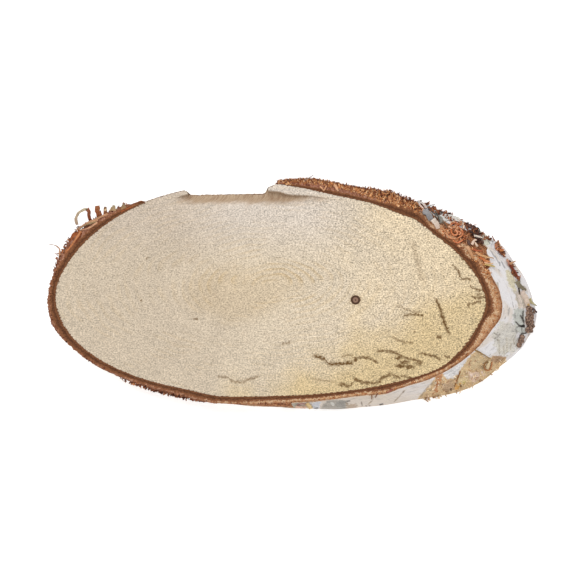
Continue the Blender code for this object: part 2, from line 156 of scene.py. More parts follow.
@dataclass(frozen=True)
class Trunk:
    """The form of the trunk and the two saw cuts, from the same sizes as the part's own solids.

    The three edges of the bark on the sawn face are read off the photograph, in degrees round the trunk
    and mm beyond the round wood.
    """

    thickness: float = 10.0 * MM
    lean: float = math.radians(60.0)
    centre: Spot = (-12.0 * MM, -0.6 * MM)
    radius: float = 54.2 * MM
    ovalness: float = 1.3 * MM
    oval_at: float = math.radians(118.0)
    lobes: float = 1.45 * MM
    lobe_at: float = math.radians(-20.0)
    cork_thickness: float = 3.0 * MM
    cork_swell: float = 0.9 * MM
    cork_thickest_at: float = math.radians(-40.0)
    bare_from: float = math.radians(88.0)
    bare_to: float = math.radians(-236.0)
    thin_end: float = 0.2
    thin_over: float = math.radians(26.0)
    bulge_depth: float = 4.0 * MM
    paper_outside: float = 0.35 * MM
    paper_bulge: float = 1.45 * MM
    taper: Table = (
        (180, 0), (27, 0), (14, 1.5), (0, 1.6), (-12, 0.6), (-33, 0.3), (-49, -2.1), (-64, 0), (-80, 0.6),
        (-97, 2.1), (-125, 0), (-180, 0),
    )
    wood_edge: Table = (
        (88, -0.2), (80, -1), (72, -1.5), (60, -0.2), (50, 0.3), (45, 0.9), (35, -0.1), (20, -0.3),
        (5, -0.2), (-5, 0.2), (-20, -0.3), (-28, 0.3), (-35, 1.1), (-41, 2), (-46, 1.9), (-54, 1.1),
        (-66, 0.1), (-75, -0.4), (-90, -0.6), (-97, 0), (-103, 0.6), (-112, -0.5), (-130, -0.3), (-150, 0),
        (-180, 0.4), (-200, -0.5), (-220, -0.8), (-236, -0.5),
    )
    bast_edge: Table = (
        (88, 0.3), (75, 0.3), (62, 1.2), (55, 2.6), (50, 4), (45, 3.6), (40, 1.6), (30, 1.7), (25, 2.2),
        (20, 1.2), (16, 2.6), (11, 1.5), (-3, 1.8), (-10, 2.2), (-15, 0.9), (-20, 1), (-30, 2.2), (-41, 3),
        (-47, 2.7), (-60, 3), (-66, 1.6), (-90, 1.5), (-97, 2.6), (-105, 3), (-112, 1.8), (-130, 1.6),
        (-160, 2.3), (-180, 1.8), (-205, 1.3), (-236, 0.8),
    )
    cork_edge: Table = (
        (88, 0.3), (84, 1.5), (76, 3.2), (60, 3.2), (50, 4.2), (40, 4), (30, 3.4), (18, 4), (11, 2.9),
        (0, 3.4), (-12, 3.8), (-20, 2.9), (-33, 3.2), (-46, 3.9), (-56, 3.6), (-61, 4.4), (-67, 2.8),
        (-85, 2.7), (-95, 3.4), (-105, 4), (-113, 2.6), (-150, 2.2), (-160, 2.7), (-180, 2.1), (-190, 1.9),
        (-200, 2.6), (-214, 2.8), (-226, 2.3), (-236, 0.8),
    )

    def wood_radius(self, angle: float) -> float:
        """Distance from the trunk's axis to the edge of the round wood."""
        oval = self.ovalness * math.cos(2.0 * (angle - self.oval_at))
        return self.radius + oval + self.lobes * math.cos(3.0 * (angle - self.lobe_at))

    def edge(self, table: Table, angle: float) -> float:
        """Distance from the trunk's axis to one of the bark's edges on the sawn face."""
        first = math.degrees(self.bare_to)
        turned = (math.degrees(angle) - first) % 360.0 + first
        return self.wood_radius(angle) + glide(table, round(turned, 2)) * MM

    def bark_radius(self, angle: float, depth: float) -> float:
        """Distance from the trunk's axis to the outside of the bark, which bulges below the sawn face.

        Args:
            angle: The angle round the trunk.
            depth: The depth below the upper face.

        Returns:
            The distance, as it would be on the upper face.
        """
        cork = self.cork_thickness + self.cork_swell * math.cos(angle - self.cork_thickest_at)
        turned = (angle - self.bare_to) % (2.0 * math.pi)
        from_end = min(turned, self.bare_from - self.bare_to - turned)
        fullness = self.thin_end + (1.0 - self.thin_end) * ease(from_end, 0.0, self.thin_over)
        at_top = self.edge(self.cork_edge, angle) + self.paper_outside
        below = self.wood_radius(angle) + (cork + self.paper_bulge) * fullness
        return at_top + (below - at_top) * ease(depth, 0.0, self.bulge_depth)

    def bare(self, angle: float) -> bool:
        """True where the wood carries no bark."""
        return (angle - self.bare_to) % (2.0 * math.pi) > self.bare_from - self.bare_to

    def narrowing(self, angle: float, depth: float) -> float:
        """How much narrower the trunk is at this depth than at the upper face."""
        turned = (math.degrees(angle) + 180.0) % 360.0 - 180.0
        return read_table(self.taper, turned) * MM * depth / self.thickness

    def over(self, angle: float, radius: float, depth: float) -> Spot:
        """The X and Y of a place whose radius is measured at its own depth."""
        x = self.centre[0] + radius * math.cos(angle) / math.cos(self.lean) + depth * math.tan(self.lean)
        return x, self.centre[1] + radius * math.sin(angle)

    def point(self, angle: float, radius: float, depth: float) -> Vector:
        """Place a point of the trunk.

        Args:
            angle: The angle round the trunk, in radians.
            radius: The distance from the axis as it would be on the upper face.
            depth: How far the point lies below the upper face.

        Returns:
            The point in the part's frame.
        """
        radius -= self.narrowing(angle, depth)
        return Vector((*self.over(angle, radius, depth), self.thickness - depth))

    def polar(self, point: Vector) -> Spot:
        """Find the angle round the trunk and the distance from its axis of a point."""
        depth = self.thickness - point.z
        across = (point.x - depth * math.tan(self.lean) - self.centre[0]) * math.cos(self.lean)
        up = point.y - self.centre[1]
        angle = math.atan2(up, across)
        return angle, math.hypot(across, up) + self.narrowing(angle, depth)

    def directions(self, angle: float) -> tuple[Vector, Vector, Vector]:
        """The directions outward, round and down the trunk at this angle."""
        across = Vector((math.cos(self.lean), 0.0, math.sin(self.lean)))
        side = Vector((0.0, 1.0, 0.0))
        outward = across * math.cos(angle) + side * math.sin(angle)
        around = side * math.cos(angle) - across * math.sin(angle)
        down = Vector((math.sin(self.lean), 0.0, -math.cos(self.lean)))
        return outward, around, down


@dataclass(frozen=True)
class Sight:
    """The photograph's line of sight, which carries a spot of the picture to its place on the slice."""

    trunk: Trunk
    middle: Spot = (291.5, 290.9)
    scale: float = 0.5 * MM
    elevation: float = math.radians(78.0)
    highest: float = -1.5 * MM
    lowest: float = 12.0 * MM
    halvings: int = 22

    def level(self, spot: Spot, height: float) -> Vector:
        """The point that a spot of the picture shows at this height."""
        up = (self.middle[1] - spot[1]) * self.scale
        up -= (height - self.trunk.thickness) * math.cos(self.elevation)
        return Vector(((spot[0] - self.middle[0]) * self.scale, up / math.sin(self.elevation), height))

    def show(self, point: Vector) -> Spot:
        """The spot of the picture where a point is seen."""
        up = point.y * math.sin(self.elevation) + (point.z - self.trunk.thickness) * math.cos(self.elevation)
        return self.middle[0] + point.x / self.scale, self.middle[1] - up / self.scale

    def on_bark(self, spot: Spot, off: float) -> Vector:
        """The point at a distance off the bark's wall that a spot of the picture shows.

        Args:
            spot: The spot of the picture.
            off: The distance off the wall.

        Returns:
            The point, found by halving the depths between which it lies.
        """
        high, low = self.highest, self.lowest
        for _ in range(self.halvings):
            depth = 0.5 * (high + low)
            angle, radius = self.trunk.polar(self.level(spot, self.trunk.thickness - depth))
            if radius > self.trunk.bark_radius(angle, max(depth, 0.0)) + off:
                high = depth
            else:
                low = depth
        return self.level(spot, self.trunk.thickness - 0.5 * (high + low))


class Bench:
    """The modelling bench: picks, edits and finishes meshes as a modeller does by hand."""

    @staticmethod
    def pick(*objects: Object) -> None:
        """Select only these objects and make the first one active."""
        bpy.ops.object.select_all(action="DESELECT")
        for obj in objects:
            obj.select_set(True)
        bpy.context.view_layer.objects.active = objects[0]

    @staticmethod
    def added(name: str) -> Object:
        """Name the primitive that was just added, and return it."""
        obj = bpy.context.active_object
        obj.name = name
        obj.data.name = name
        return obj

    @staticmethod
    @contextmanager
    def editing(obj: Object) -> Iterator[None]:
        """Open the object's mesh in edit mode for as long as the block runs."""
        Bench.pick(obj)
        bpy.ops.object.mode_set(mode="EDIT")
        bpy.ops.mesh.select_mode(type="FACE")
        yield
        bpy.ops.object.mode_set(mode="OBJECT")

    @staticmethod
    def select_faces(obj: Object, wanted: Callable[[Vector], bool]) -> None:
        """Select, in edit mode, just the faces whose middle is wanted."""
        bm = bmesh.from_edit_mesh(obj.data)
        for face in bm.faces:
            face.select_set(False)
        for face in bm.faces:
            if wanted(face.calc_center_median()):
                face.select_set(True)
        bmesh.update_edit_mesh(obj.data)

    @staticmethod
    def shape(obj: Object, rule: Callable[[Vector], Vector]) -> None:
        """Move every point of the mesh by a rule."""
        for vertex in obj.data.vertices:
            vertex.co = rule(vertex.co.copy())
        obj.data.update()

    @staticmethod
    def paint(obj: Object, name: str, values: Sequence[float]) -> None:
        """Store one number for each point of the mesh, for its material to read."""
        layer = obj.data.attributes.new(name, "FLOAT", "POINT")
        layer.data.foreach_set("value", values)

    @staticmethod
    def tint(obj: Object, name: str, values: Sequence[float]) -> None:
        """Store one linear colour of four numbers for each point of the mesh."""
        layer = obj.data.attributes.new(name, "FLOAT_COLOR", "POINT")
        layer.data.foreach_set("color", values)

    @staticmethod
    def finish(obj: Object, kind: str, **settings: Any) -> None:
        """Add a modifier with these settings and apply it."""
        Bench.pick(obj)
        modifier = obj.modifiers.new(kind.title(), kind)
        for key, value in settings.items():
            setattr(modifier, key, value)
        bpy.ops.object.modifier_apply(modifier=modifier.name)

    @staticmethod
    def close(obj: Object, gap: float = 0.005 * MM) -> None:
        """Merge doubled points, fill open ends and turn all faces outwards."""
        with Bench.editing(obj):
            bpy.ops.mesh.select_all(action="SELECT")
            bpy.ops.mesh.remove_doubles(threshold=gap)
            bpy.ops.mesh.fill_holes(sides=0)
            bpy.ops.mesh.select_all(action="SELECT")
            bpy.ops.mesh.normals_make_consistent(inside=False)

    @staticmethod
    def smooth(obj: Object, sharpest: float = 50.0) -> None:
        """Shade the object smooth, apart from edges sharper than this many degrees."""
        Bench.pick(obj)
        bpy.ops.object.shade_smooth_by_angle(angle=math.radians(sharpest))

    @staticmethod
    def join(name: str, objects: Sequence[Object]) -> Object:
        """Join several objects into one and name it."""
        Bench.pick(*objects)
        if len(objects) > 1:
            bpy.ops.object.join()
        return Bench.added(name)


def operator(operation: str, turned: bool = False) -> Callable[..., "Signal"]:
    """Make the method that stands for one of Python's operators.

    Args:
        operation: What the operator's Math node does.
        turned: True where the other value comes first.

    Returns:
        The method.
    """

    def method(signal: "Signal", other: "Feed" = 0.0) -> "Signal":
        """Add the Math node."""
        first, second = (other, signal) if turned else (signal, other)
        return signal.graph.node("ShaderNodeMath", {"operation": operation}, {0: first, 1: second})

    return method


class Signal:
    """A shader socket that takes part in Python expressions; a | b takes the larger of the two."""

    def __init__(self, graph: "Graph", socket: bpy.types.NodeSocket) -> None:
        """Wrap a socket of this graph."""
        self.graph = graph
        self.socket = socket

    __add__ = __radd__ = operator("ADD")
    __mul__ = __rmul__ = operator("MULTIPLY")
    __sub__ = operator("SUBTRACT")
    __rsub__ = operator("SUBTRACT", turned=True)
    __truediv__ = operator("DIVIDE")
    __pow__ = operator("POWER")
    __or__ = operator("MAXIMUM")
    __abs__ = operator("ABSOLUTE")

    def step(self, low: float, high: float) -> "Signal":
        """Step smoothly from 0 at low to 1 at high."""
        if low > high:
            return 1.0 - self.step(high, low)
        sockets = {"Value": self, "From Min": low, "From Max": high}
        return self.graph.node("ShaderNodeMapRange", {"interpolation_type": "SMOOTHSTEP"}, sockets)


Feed = Signal | float | tuple


class Graph:
    """The nodes of one material."""

    def __init__(self, name: str) -> None:
        """Start a material with a Principled shader."""
        self.material = bpy.data.materials.new(name)
        self.material.use_nodes = True
        self.tree = self.material.node_tree
        self.shader = self.tree.nodes["Principled BSDF"]

    def node(
        self, kind: str, settings: dict[str, Any], sockets: dict[str | int, Feed], output: str | int = 0
    ) -> Signal:
        """Add a node.

        Args:
            kind: The node's type.
            settings: What is set first: the node's own settings, a ramp's stops or a curve's points.
            sockets: Values or links, by the socket's name or number.
            output: The name or number of the output that is wanted.

        Returns:
            The signal of that output.
        """
        node = self.tree.nodes.new(kind)
        for key, value in settings.items():
            if key == "stops":
                self._set_stops(node.color_ramp, value)
            elif key == "points":
                self._set_points(node.mapping, value)
            else:
                setattr(node, key, value)
        for key, value in sockets.items():
            self.feed(node.inputs[key], value)
        return Signal(self, node.outputs[output])

    def feed(self, socket: bpy.types.NodeSocket, value: Feed) -> None:
        """Link a signal to a socket, or set the socket's own value."""
        if isinstance(value, Signal):
            self.tree.links.new(value.socket, socket)
        else:
            socket.default_value = value

    @staticmethod
    def _set_stops(ramp: bpy.types.ColorRamp, stops: Sequence[tuple[float, Rgb]]) -> None:
        """Give a colour ramp its stops."""
        while len(ramp.elements) < len(stops):
            ramp.elements.new(0.5)
        for element, (position, color) in zip(ramp.elements, stops):
            element.position = position
            element.color = linear(color)

    @staticmethod
    def _set_points(mapping: bpy.types.CurveMapping, points: Table) -> None:
        """Give a float curve its points, which run from 0 to 1 both ways."""
        curve = mapping.curves[0]
        for x, y in points[1:-1]:
            curve.points.new(x, y)
        for point, place in zip(curve.points, points):
            point.location = place
            point.handle_type = "AUTO_CLAMPED"
        mapping.update()

    def place(self) -> Signal:
        """The point of the surface, in metres."""
        return self.node("ShaderNodeTexCoord", {}, {}, "Object")

    def split(self, vector: Signal) -> tuple[Signal, Signal, Signal]:
        """The three parts of a vector."""
        node = self.node("ShaderNodeSeparateXYZ", {}, {0: vector}).socket.node
        return tuple(Signal(self, output) for output in node.outputs)

    def pack(self, x: Feed, y: Feed, z: Feed) -> Signal:
        """A vector from its three parts."""
        return self.node("ShaderNodeCombineXYZ", {}, {0: x, 1: y, 2: z})

    def painted(self, name: str, output: str = "Fac") -> Signal:
        """A number or, from the node's other outputs, a colour that was stored on the mesh."""
        return self.node("ShaderNodeAttribute", {"attribute_name": name}, {}, output)

    def noise(self, where: Signal, grain: float, detail: float = 2.0, roughness: float = 0.5) -> Signal:
        """Noise from 0 to 1 with lumps of this size."""
        sockets = {"Vector": where, "Scale": 1.0 / grain, "Detail": detail, "Roughness": roughness}
        return self.node("ShaderNodeTexNoise", {}, sockets)

    def stretched(self, where: Signal, grain: float, detail: float = 2.0, contrast: float = 3.0) -> Signal:
        """Noise about 0 with its contrast drawn out, mostly between -1 and 1."""
        return (self.noise(where, grain, detail) - 0.5) * (2.0 * contrast)

    def cells(self, where: Signal, grain: float) -> Signal:
        """Distance from the nearest of many scattered dots, in grains."""
        return self.node("ShaderNodeTexVoronoi", {}, {"Vector": where, "Scale": 1.0 / grain})

    def ramp(self, value: Signal, *stops: tuple[float, Rgb]) -> Signal:
        """A colour that runs through these stops."""
        return self.node("ShaderNodeValToRGB", {"stops": stops}, {0: value})

    def mix(self, factor: Feed, below: Feed, above: Feed, how: str = "MIX") -> Signal:
        """Lay one colour over another.

        Args:
            factor: How much of the upper colour shows.
            below: The lower colour, as a signal or a display colour.
            above: The upper colour, likewise.
            how: The blend type.

        Returns:
            The mixed colour.
        """
        below, above = (linear(tone) if isinstance(tone, tuple) else tone for tone in (below, above))
        sockets = {0: factor, 6: below, 7: above}
        return self.node("ShaderNodeMix", {"data_type": "RGBA", "blend_type": how}, sockets, 2)

    def shade(self, color: Signal, light: Signal) -> Signal:
        """Multiply a colour by a brightness."""
        return self.mix(1.0, color, self.pack(light, light, light), "MULTIPLY")

    def finish(self, color: Signal, roughness: Feed, height: Signal, relief: float) -> Material:
        """Connect the shader.

        Args:
            color: The base colour.
            roughness: The roughness.
            height: The relief's height, from 0 to 1.
            relief: How tall that relief is, in metres.

        Returns:
            The finished material.
        """
        self.feed(self.shader.inputs["Base Color"], color)
        self.feed(self.shader.inputs["Roughness"], roughness)
        self.shader.inputs["Specular IOR Level"].default_value = 0.25
        bump = self.node("ShaderNodeBump", {}, {"Height": height, "Distance": relief, "Strength": 1.0})
        self.feed(self.shader.inputs["Normal"], bump)
        return self.material


@dataclass(frozen=True)
class Line:
    """A thin spalt line on the sawn face: a smooth curve through spots of the picture, its width in mm."""

    name: str
    spots: Sequence[Spot]
    width: float = 0.75
    strength: float = 0.7
    upright: bool = False

    def mask(self, graph: Graph, x: Signal, y: Signal) -> Signal:
        """Draw the line.

        Args:
            graph: The material's nodes.
            x: The place along X on the upper face, in spots of the picture.
            y: The place down the picture.

        Returns:
            The line's strength at that place.
        """
        runs = [(b, a) for a, b in self.spots] if self.upright else list(self.spots)
        runs.sort()
        along, off = (y, x) if self.upright else (x, y)
        start, stop = runs[0][0], runs[-1][0]
        low = min(b for _, b in runs) - 1.0
        high = max(b for _, b in runs) + 1.0
        points = [((a - start) / (stop - start), (b - low) / (high - low)) for a, b in runs]
        share = (along - start) / (stop - start)
        curve = graph.node("ShaderNodeFloatCurve", {"points": points}, {"Value": share})
        distance = abs(off - (curve * (high - low) + low))
        inside = share.step(-0.01, 0.06) * share.step(1.01, 0.94)
        return distance.step(self.width * 3.0, 0.0) * inside * self.strength


@dataclass(frozen=True)
class Smudge:
    """A soft stain on the sawn face: its middle and reach in spots of the picture, and its strength."""

    name: str
    x: float
    y: float
    reach_x: float
    reach_y: float
    strength: float

    def mask(self, graph: Graph, x: Signal, y: Signal) -> Signal:
        """Draw the smudge; the arguments are as for a line."""
        from_x = (x - self.x) / self.reach_x
        from_y = (y - self.y) / self.reach_y
        return (from_x * from_x + from_y * from_y).step(1.0, 0.1) * self.strength


SPALT_LINES = (
    Line("left wave", ((340, 384.3), (341.5, 383), (344, 384), (347, 385.6), (350.5, 385.4)), 1),
    Line("left hook", ((350.5, 385.4), (351.5, 382.5), (352.8, 381.3)), 0.75, 0.7, True),
    Line("low bank", ((352.5, 378.3), (359, 380.3), (367, 382.5), (379.5, 382.3)), 1),
    Line("bank end", ((379.7, 382.4), (380, 380), (380.6, 377.4)), 1, 0.75, True),
    Line("low crest", ((380.3, 377.6), (385, 376.5), (390.5, 374), (394, 375.8), (400, 376.8)), 1),
    Line("crest tail", ((400.2, 376), (404, 375.8), (408, 377), (412, 377.8))),
    Line("long slope", ((311.9, 355.1), (323.5, 358.6), (330.5, 363.7), (340, 363.5),
         (354, 362.3)), 1.1, 0.8),
    Line("slope end", ((355.2, 362), (355.6, 359), (352.8, 356.5)), 1.2, 0.75, True),
    Line("slope branch", ((354, 358.5), (362, 357.3), (366, 357.3), (370, 358.8), (378, 363))),
    Line("small arch", ((340.5, 357.5), (345, 355.5), (349, 354.8), (353, 355.8)), 0.6, 0.5),
    Line("long ridge", ((375, 351.5), (382, 350.6), (392, 351.8), (404, 357), (412, 359.3), (421, 361))),
    Line("right ridge", ((417.5, 353.8), (420, 353.2), (428, 354.8), (433, 355.8), (441, 359.4))),
    Line("middle dash", ((391.5, 337), (398, 339.8), (405, 342), (413.5, 342.8)), 0.7, 0.5),
    Line("upper bow", ((403, 318.6), (405, 315.6), (412.2, 314.4), (424, 315.6))),
    Line("upper slope", ((396.8, 305.5), (411, 310.8), (421.7, 312.6)), 0.6, 0.4),
    Line("red crack", ((435, 297), (440.7, 310.8), (443, 319.1), (449, 335)), 1.05, 0.8, True),
    Line("rim bow", ((469.1, 284.7), (473.9, 288.3), (478.6, 290.1), (484, 289.5))),
    Line("rim dash", ((468, 303.5), (472, 303.9), (475, 302.5), (481, 301.4))),
    Line("rim fall", ((467.6, 303.7), (468.5, 306.5), (470.3, 308.5)), 0.7, 0.6, True),
    Line("rim drop", ((451.5, 264.5), (455, 267), (458, 270)), 0.8, 0.7, True),
    Line("rim stem", ((458, 270), (459.5, 273), (460.3, 277.8)), 0.8, 0.7, True),
    Line("rim step", ((460.5, 278.5), (463, 279), (467, 278.5), (471, 279.5))),
    Line("rim flame", ((461, 258), (465, 260.5), (469, 266.5), (472, 268))),
    Line("rim lick", ((472, 296.5), (478, 297.8), (485, 296.5))),
    Line("low mark", ((443.5, 355.3), (446, 356.6), (449.5, 357.6))),
    Line("faint low", ((311, 377.9), (336, 382.1)), 0.7, 0.35),
    Line("left river", ((216, 376), (228, 377.2), (232, 380.6), (240, 381.5), (249, 378.9),
         (260, 376)), 0.8, 0.5),
    Line("heart dash", ((281.5, 343.5), (289.5, 342.9)), 0.7, 0.5),
    Line("heart tick", ((289.5, 342.9), (289.7, 339.8)), 0.7, 0.5, True),
    Line("right streak", ((413, 240), (418, 262), (422, 282)), 1.5, 0.24, True),
)
SMUDGES = (
    Smudge("ridge stain", 398.7, 357.8, 4.4, 2.4, 0.85),
    Smudge("ridge patch", 404, 362, 6.5, 2.4, 0.75),
    Smudge("low patch", 400, 365.8, 7, 2.8, 0.8),
    Smudge("low tail", 409.5, 366.5, 7.5, 2.8, 0.7),
    Smudge("slope patch", 418.5, 362.5, 5.5, 3.8, 0.6),
    Smudge("wave patch", 340.5, 384.5, 3, 2.3, 0.7),
    Smudge("red spot", 439, 336.7, 3.4, 2.4, 0.7),
    Smudge("middle spot", 414, 332.2, 1.6, 1.4, 0.5),
    Smudge("rim spot", 479, 294.5, 4, 2.2, 0.55),
    Smudge("left spot", 147, 258, 1.8, 1.6, 0.5),
    Smudge("heart spot", 196, 319, 3.6, 1.6, 0.5),
    Smudge("far left spot", 142, 301, 1.8, 1.6, 0.5),
)


@dataclass(frozen=True)
class SawnBirch:
    """Pale birch wood, finely sawn: faint rings, strong fine speckle and soft olive spalt lines."""

    greyish: Rgb = (202, 186, 164)
    pale: Rgb = (214, 198, 174)
    yellow: Rgb = (221, 202, 171)
    cool_left: Rgb = (197, 182, 165)
    cool: Rgb = (213, 201, 188)
    straw: Rgb = (208, 185, 142)
    heart: Rgb = (197, 171, 129)
    pore: Rgb = (150, 122, 86)
    spalt: Rgb = (104, 74, 34)
    # the scoop's floor: the torn wood's own darker colour, with painted shade of its sloping floor laid in
    torn: Rgb = (184, 160, 132)
    torn_dark: Rgb = (148, 116, 90)
    # the colour of the painted shadow under the tongues' undercut edges
    crack: Rgb = (84, 54, 34)
    bast: Rgb = (92, 52, 28)
    pith: Spot = (0.6, 4.6)
    warm_patch: Spot = (-6.5, 0.5)
    ring_gap: float = 2.6

    def material(self, trunk: Trunk, sight: Sight, board: "Board") -> Material:
        """Make the wood's material.

        Args:
            trunk: The trunk, whose lean the pattern follows.
            sight: The photograph's line of sight, for the stains.
            board: The board, for the place of its pin knot and scoop.

        Returns:
            The material.
        """
        g = Graph("sawn_birch")
        place = g.place()
        world_x, world_y, world_z = g.split(place)
        depth = trunk.thickness - world_z
        x = (world_x - depth * math.tan(trunk.lean)) * 1000.0
        y = world_y * 1000.0
        on_face = g.pack(x, y, 0.0)
        cloud = g.stretched(on_face, 24.0, 2.0, 3.0)
        drift = g.stretched(g.pack(x, y, 20.0), 5.0, 2.0, 3.0)

        color = g.mix((x + cloud * 14.0).step(-60.0, 0.0), self.greyish, self.pale)
        color = g.mix((x + cloud * 14.0).step(15.0, 72.0), color, self.yellow)
        low_right = (x * 0.45 - y + cloud * 8.0).step(26.0, 60.0) | (x.step(70.0, 92.0) * 0.35)
        color = g.mix(low_right, color, self.straw)
        cool = g.mix(x.step(-62.0, -25.0), self.cool_left, self.cool)
        color = g.mix(y.step(12.0, 42.0) * x.step(45.0, 5.0) * 0.9, color, cool)
        color = self._rings(g, trunk, x, y, cloud, color)
        color = self._speckle(g, x, y, world_z * 1000.0, color, 1.0 + cloud * 0.03 + drift * 0.03)

        wobble = g.stretched(on_face, 1.3, 2.0)
        other = g.stretched(g.pack(x, y, 40.0), 1.3, 2.0)
        spot_x = x * (MM / sight.scale) + sight.middle[0] + other * 0.9
        spot_y = sight.middle[1] - y * (MM / sight.scale * math.sin(sight.elevation)) + wobble * 0.9
        broken = g.noise(on_face, 1.2, 2.0).step(0.3, 0.56) * 0.4 + 0.6
        stain: Signal | None = None
        for mark in (*SPALT_LINES, *SMUDGES):
            mask = mark.mask(g, spot_x, spot_y)
            stain = mask if stain is None else stain | mask
        color = g.mix(stain * broken * 1.35, color, self.spalt)

        fibres = g.noise(g.pack(x * 3.0, y * 0.3, 0.0), 1.4, 3.0, 0.65)
        color = self._torn_floor_and_painted_shade(g, fibres, wobble, drift, color)
        rim = g.painted("rim") * 1000.0
        teeth = g.stretched(g.pack(x * 0.7, y * 0.9, 0.0), 0.9, 2.0)
        color = g.mix((rim + teeth * 0.35).step(0.34, 0.12) * 0.92, color, self.bast)

        knot = Vector(board.knot) * 1000.0
        from_knot = ((x - knot.x) ** 2.0 + (y - knot.y) ** 2.0) ** 0.5 + wobble * 0.4
        color = g.mix(from_knot.step(4.2, 2.0) * 0.35, color, self.pore)
        height = teeth * 0.25 + drift * 0.1 - stain * 0.1 + fibres * g.painted("scooped") * 1.5
        return g.finish(color, 0.75, height, 0.08 * MM)

    def _rings(self, g: Graph, trunk: Trunk, x: Signal, y: Signal, cloud: Signal, color: Signal) -> Signal:
        """Tint the heart and draw the faint, broken rings round the pith."""
        across = (x - trunk.centre[0] * 1000.0) * math.cos(trunk.lean)
        up = y - trunk.centre[1] * 1000.0
        from_pith = ((across - self.pith[0]) ** 2.0 + (up - self.pith[1]) ** 2.0) ** 0.5 + cloud * 1.2
        ring = g.node("ShaderNodeMath", {"operation": "FRACT"}, {0: from_pith / self.ring_gap})
        late = ring.step(0.3, 0.9) * ring.step(1.0, 0.92)
        patchy = g.noise(g.pack(x * 0.4, y, 3.0), 9.0, 3.0).step(0.42, 0.62)
        near = from_pith.step(24.0, 6.0) * 0.6 + 0.25
        off = ((across - self.warm_patch[0]) ** 2.0 + (up - self.warm_patch[1]) ** 2.0) ** 0.5 + cloud * 2.5
        color = g.mix(off.step(20.0, 7.0) * 0.3, color, self.heart)
        return g.mix(late * near * patchy * 0.75, color, self.heart)

    def _speckle(self, g: Graph, x: Signal, y: Signal, z: Signal, color: Signal, light: Signal) -> Signal:
        """Lay on the grain that the saw left: fine light and dark specks, with dark pores on the right."""
        fine = g.stretched(g.pack(x * 0.8, y, z), 0.62, 1.0)
        grainy = g.stretched(g.pack(x * 0.7, y, z + 9.0), 1.5, 2.0)
        rightness = x.step(-40.0, 70.0)
        strength = 0.75 + rightness * 0.45
        color = g.shade(color, light + fine * strength * 0.33 + grainy * strength * 0.09)
        pores = g.cells(g.pack(x * 0.55, y, z), 1.5).step(0.26, 0.08) * grainy.step(-0.6, 0.8)
        return g.mix(pores * (0.25 + rightness * 0.35), color, self.pore)

    def _torn_floor_and_painted_shade(self, g: Graph, fibres: Signal, wobble: Signal, drift: Signal, color: Signal) -> Signal:
        """Colour the scoop's torn floor, partly as painted shade, and paint the shadow under its tongues."""
        scooped = g.painted("scooped")
        floor = g.shade(g.mix(fibres.step(0.3, 0.62), self.torn_dark, self.torn), 0.9 + fibres * 0.2)
        # darken the scoop, partly as torn wood and partly as painted shade of its slope
        color = g.mix((scooped + wobble * 0.05 + drift * 0.12).step(0.0, 0.75) * 0.95, color, floor)
        # paint the shadow that falls under the tongues' undercut edges, broken by the fibres
        return g.mix(g.painted("cliff") * (0.4 + fibres * 0.7), color, self.crack)


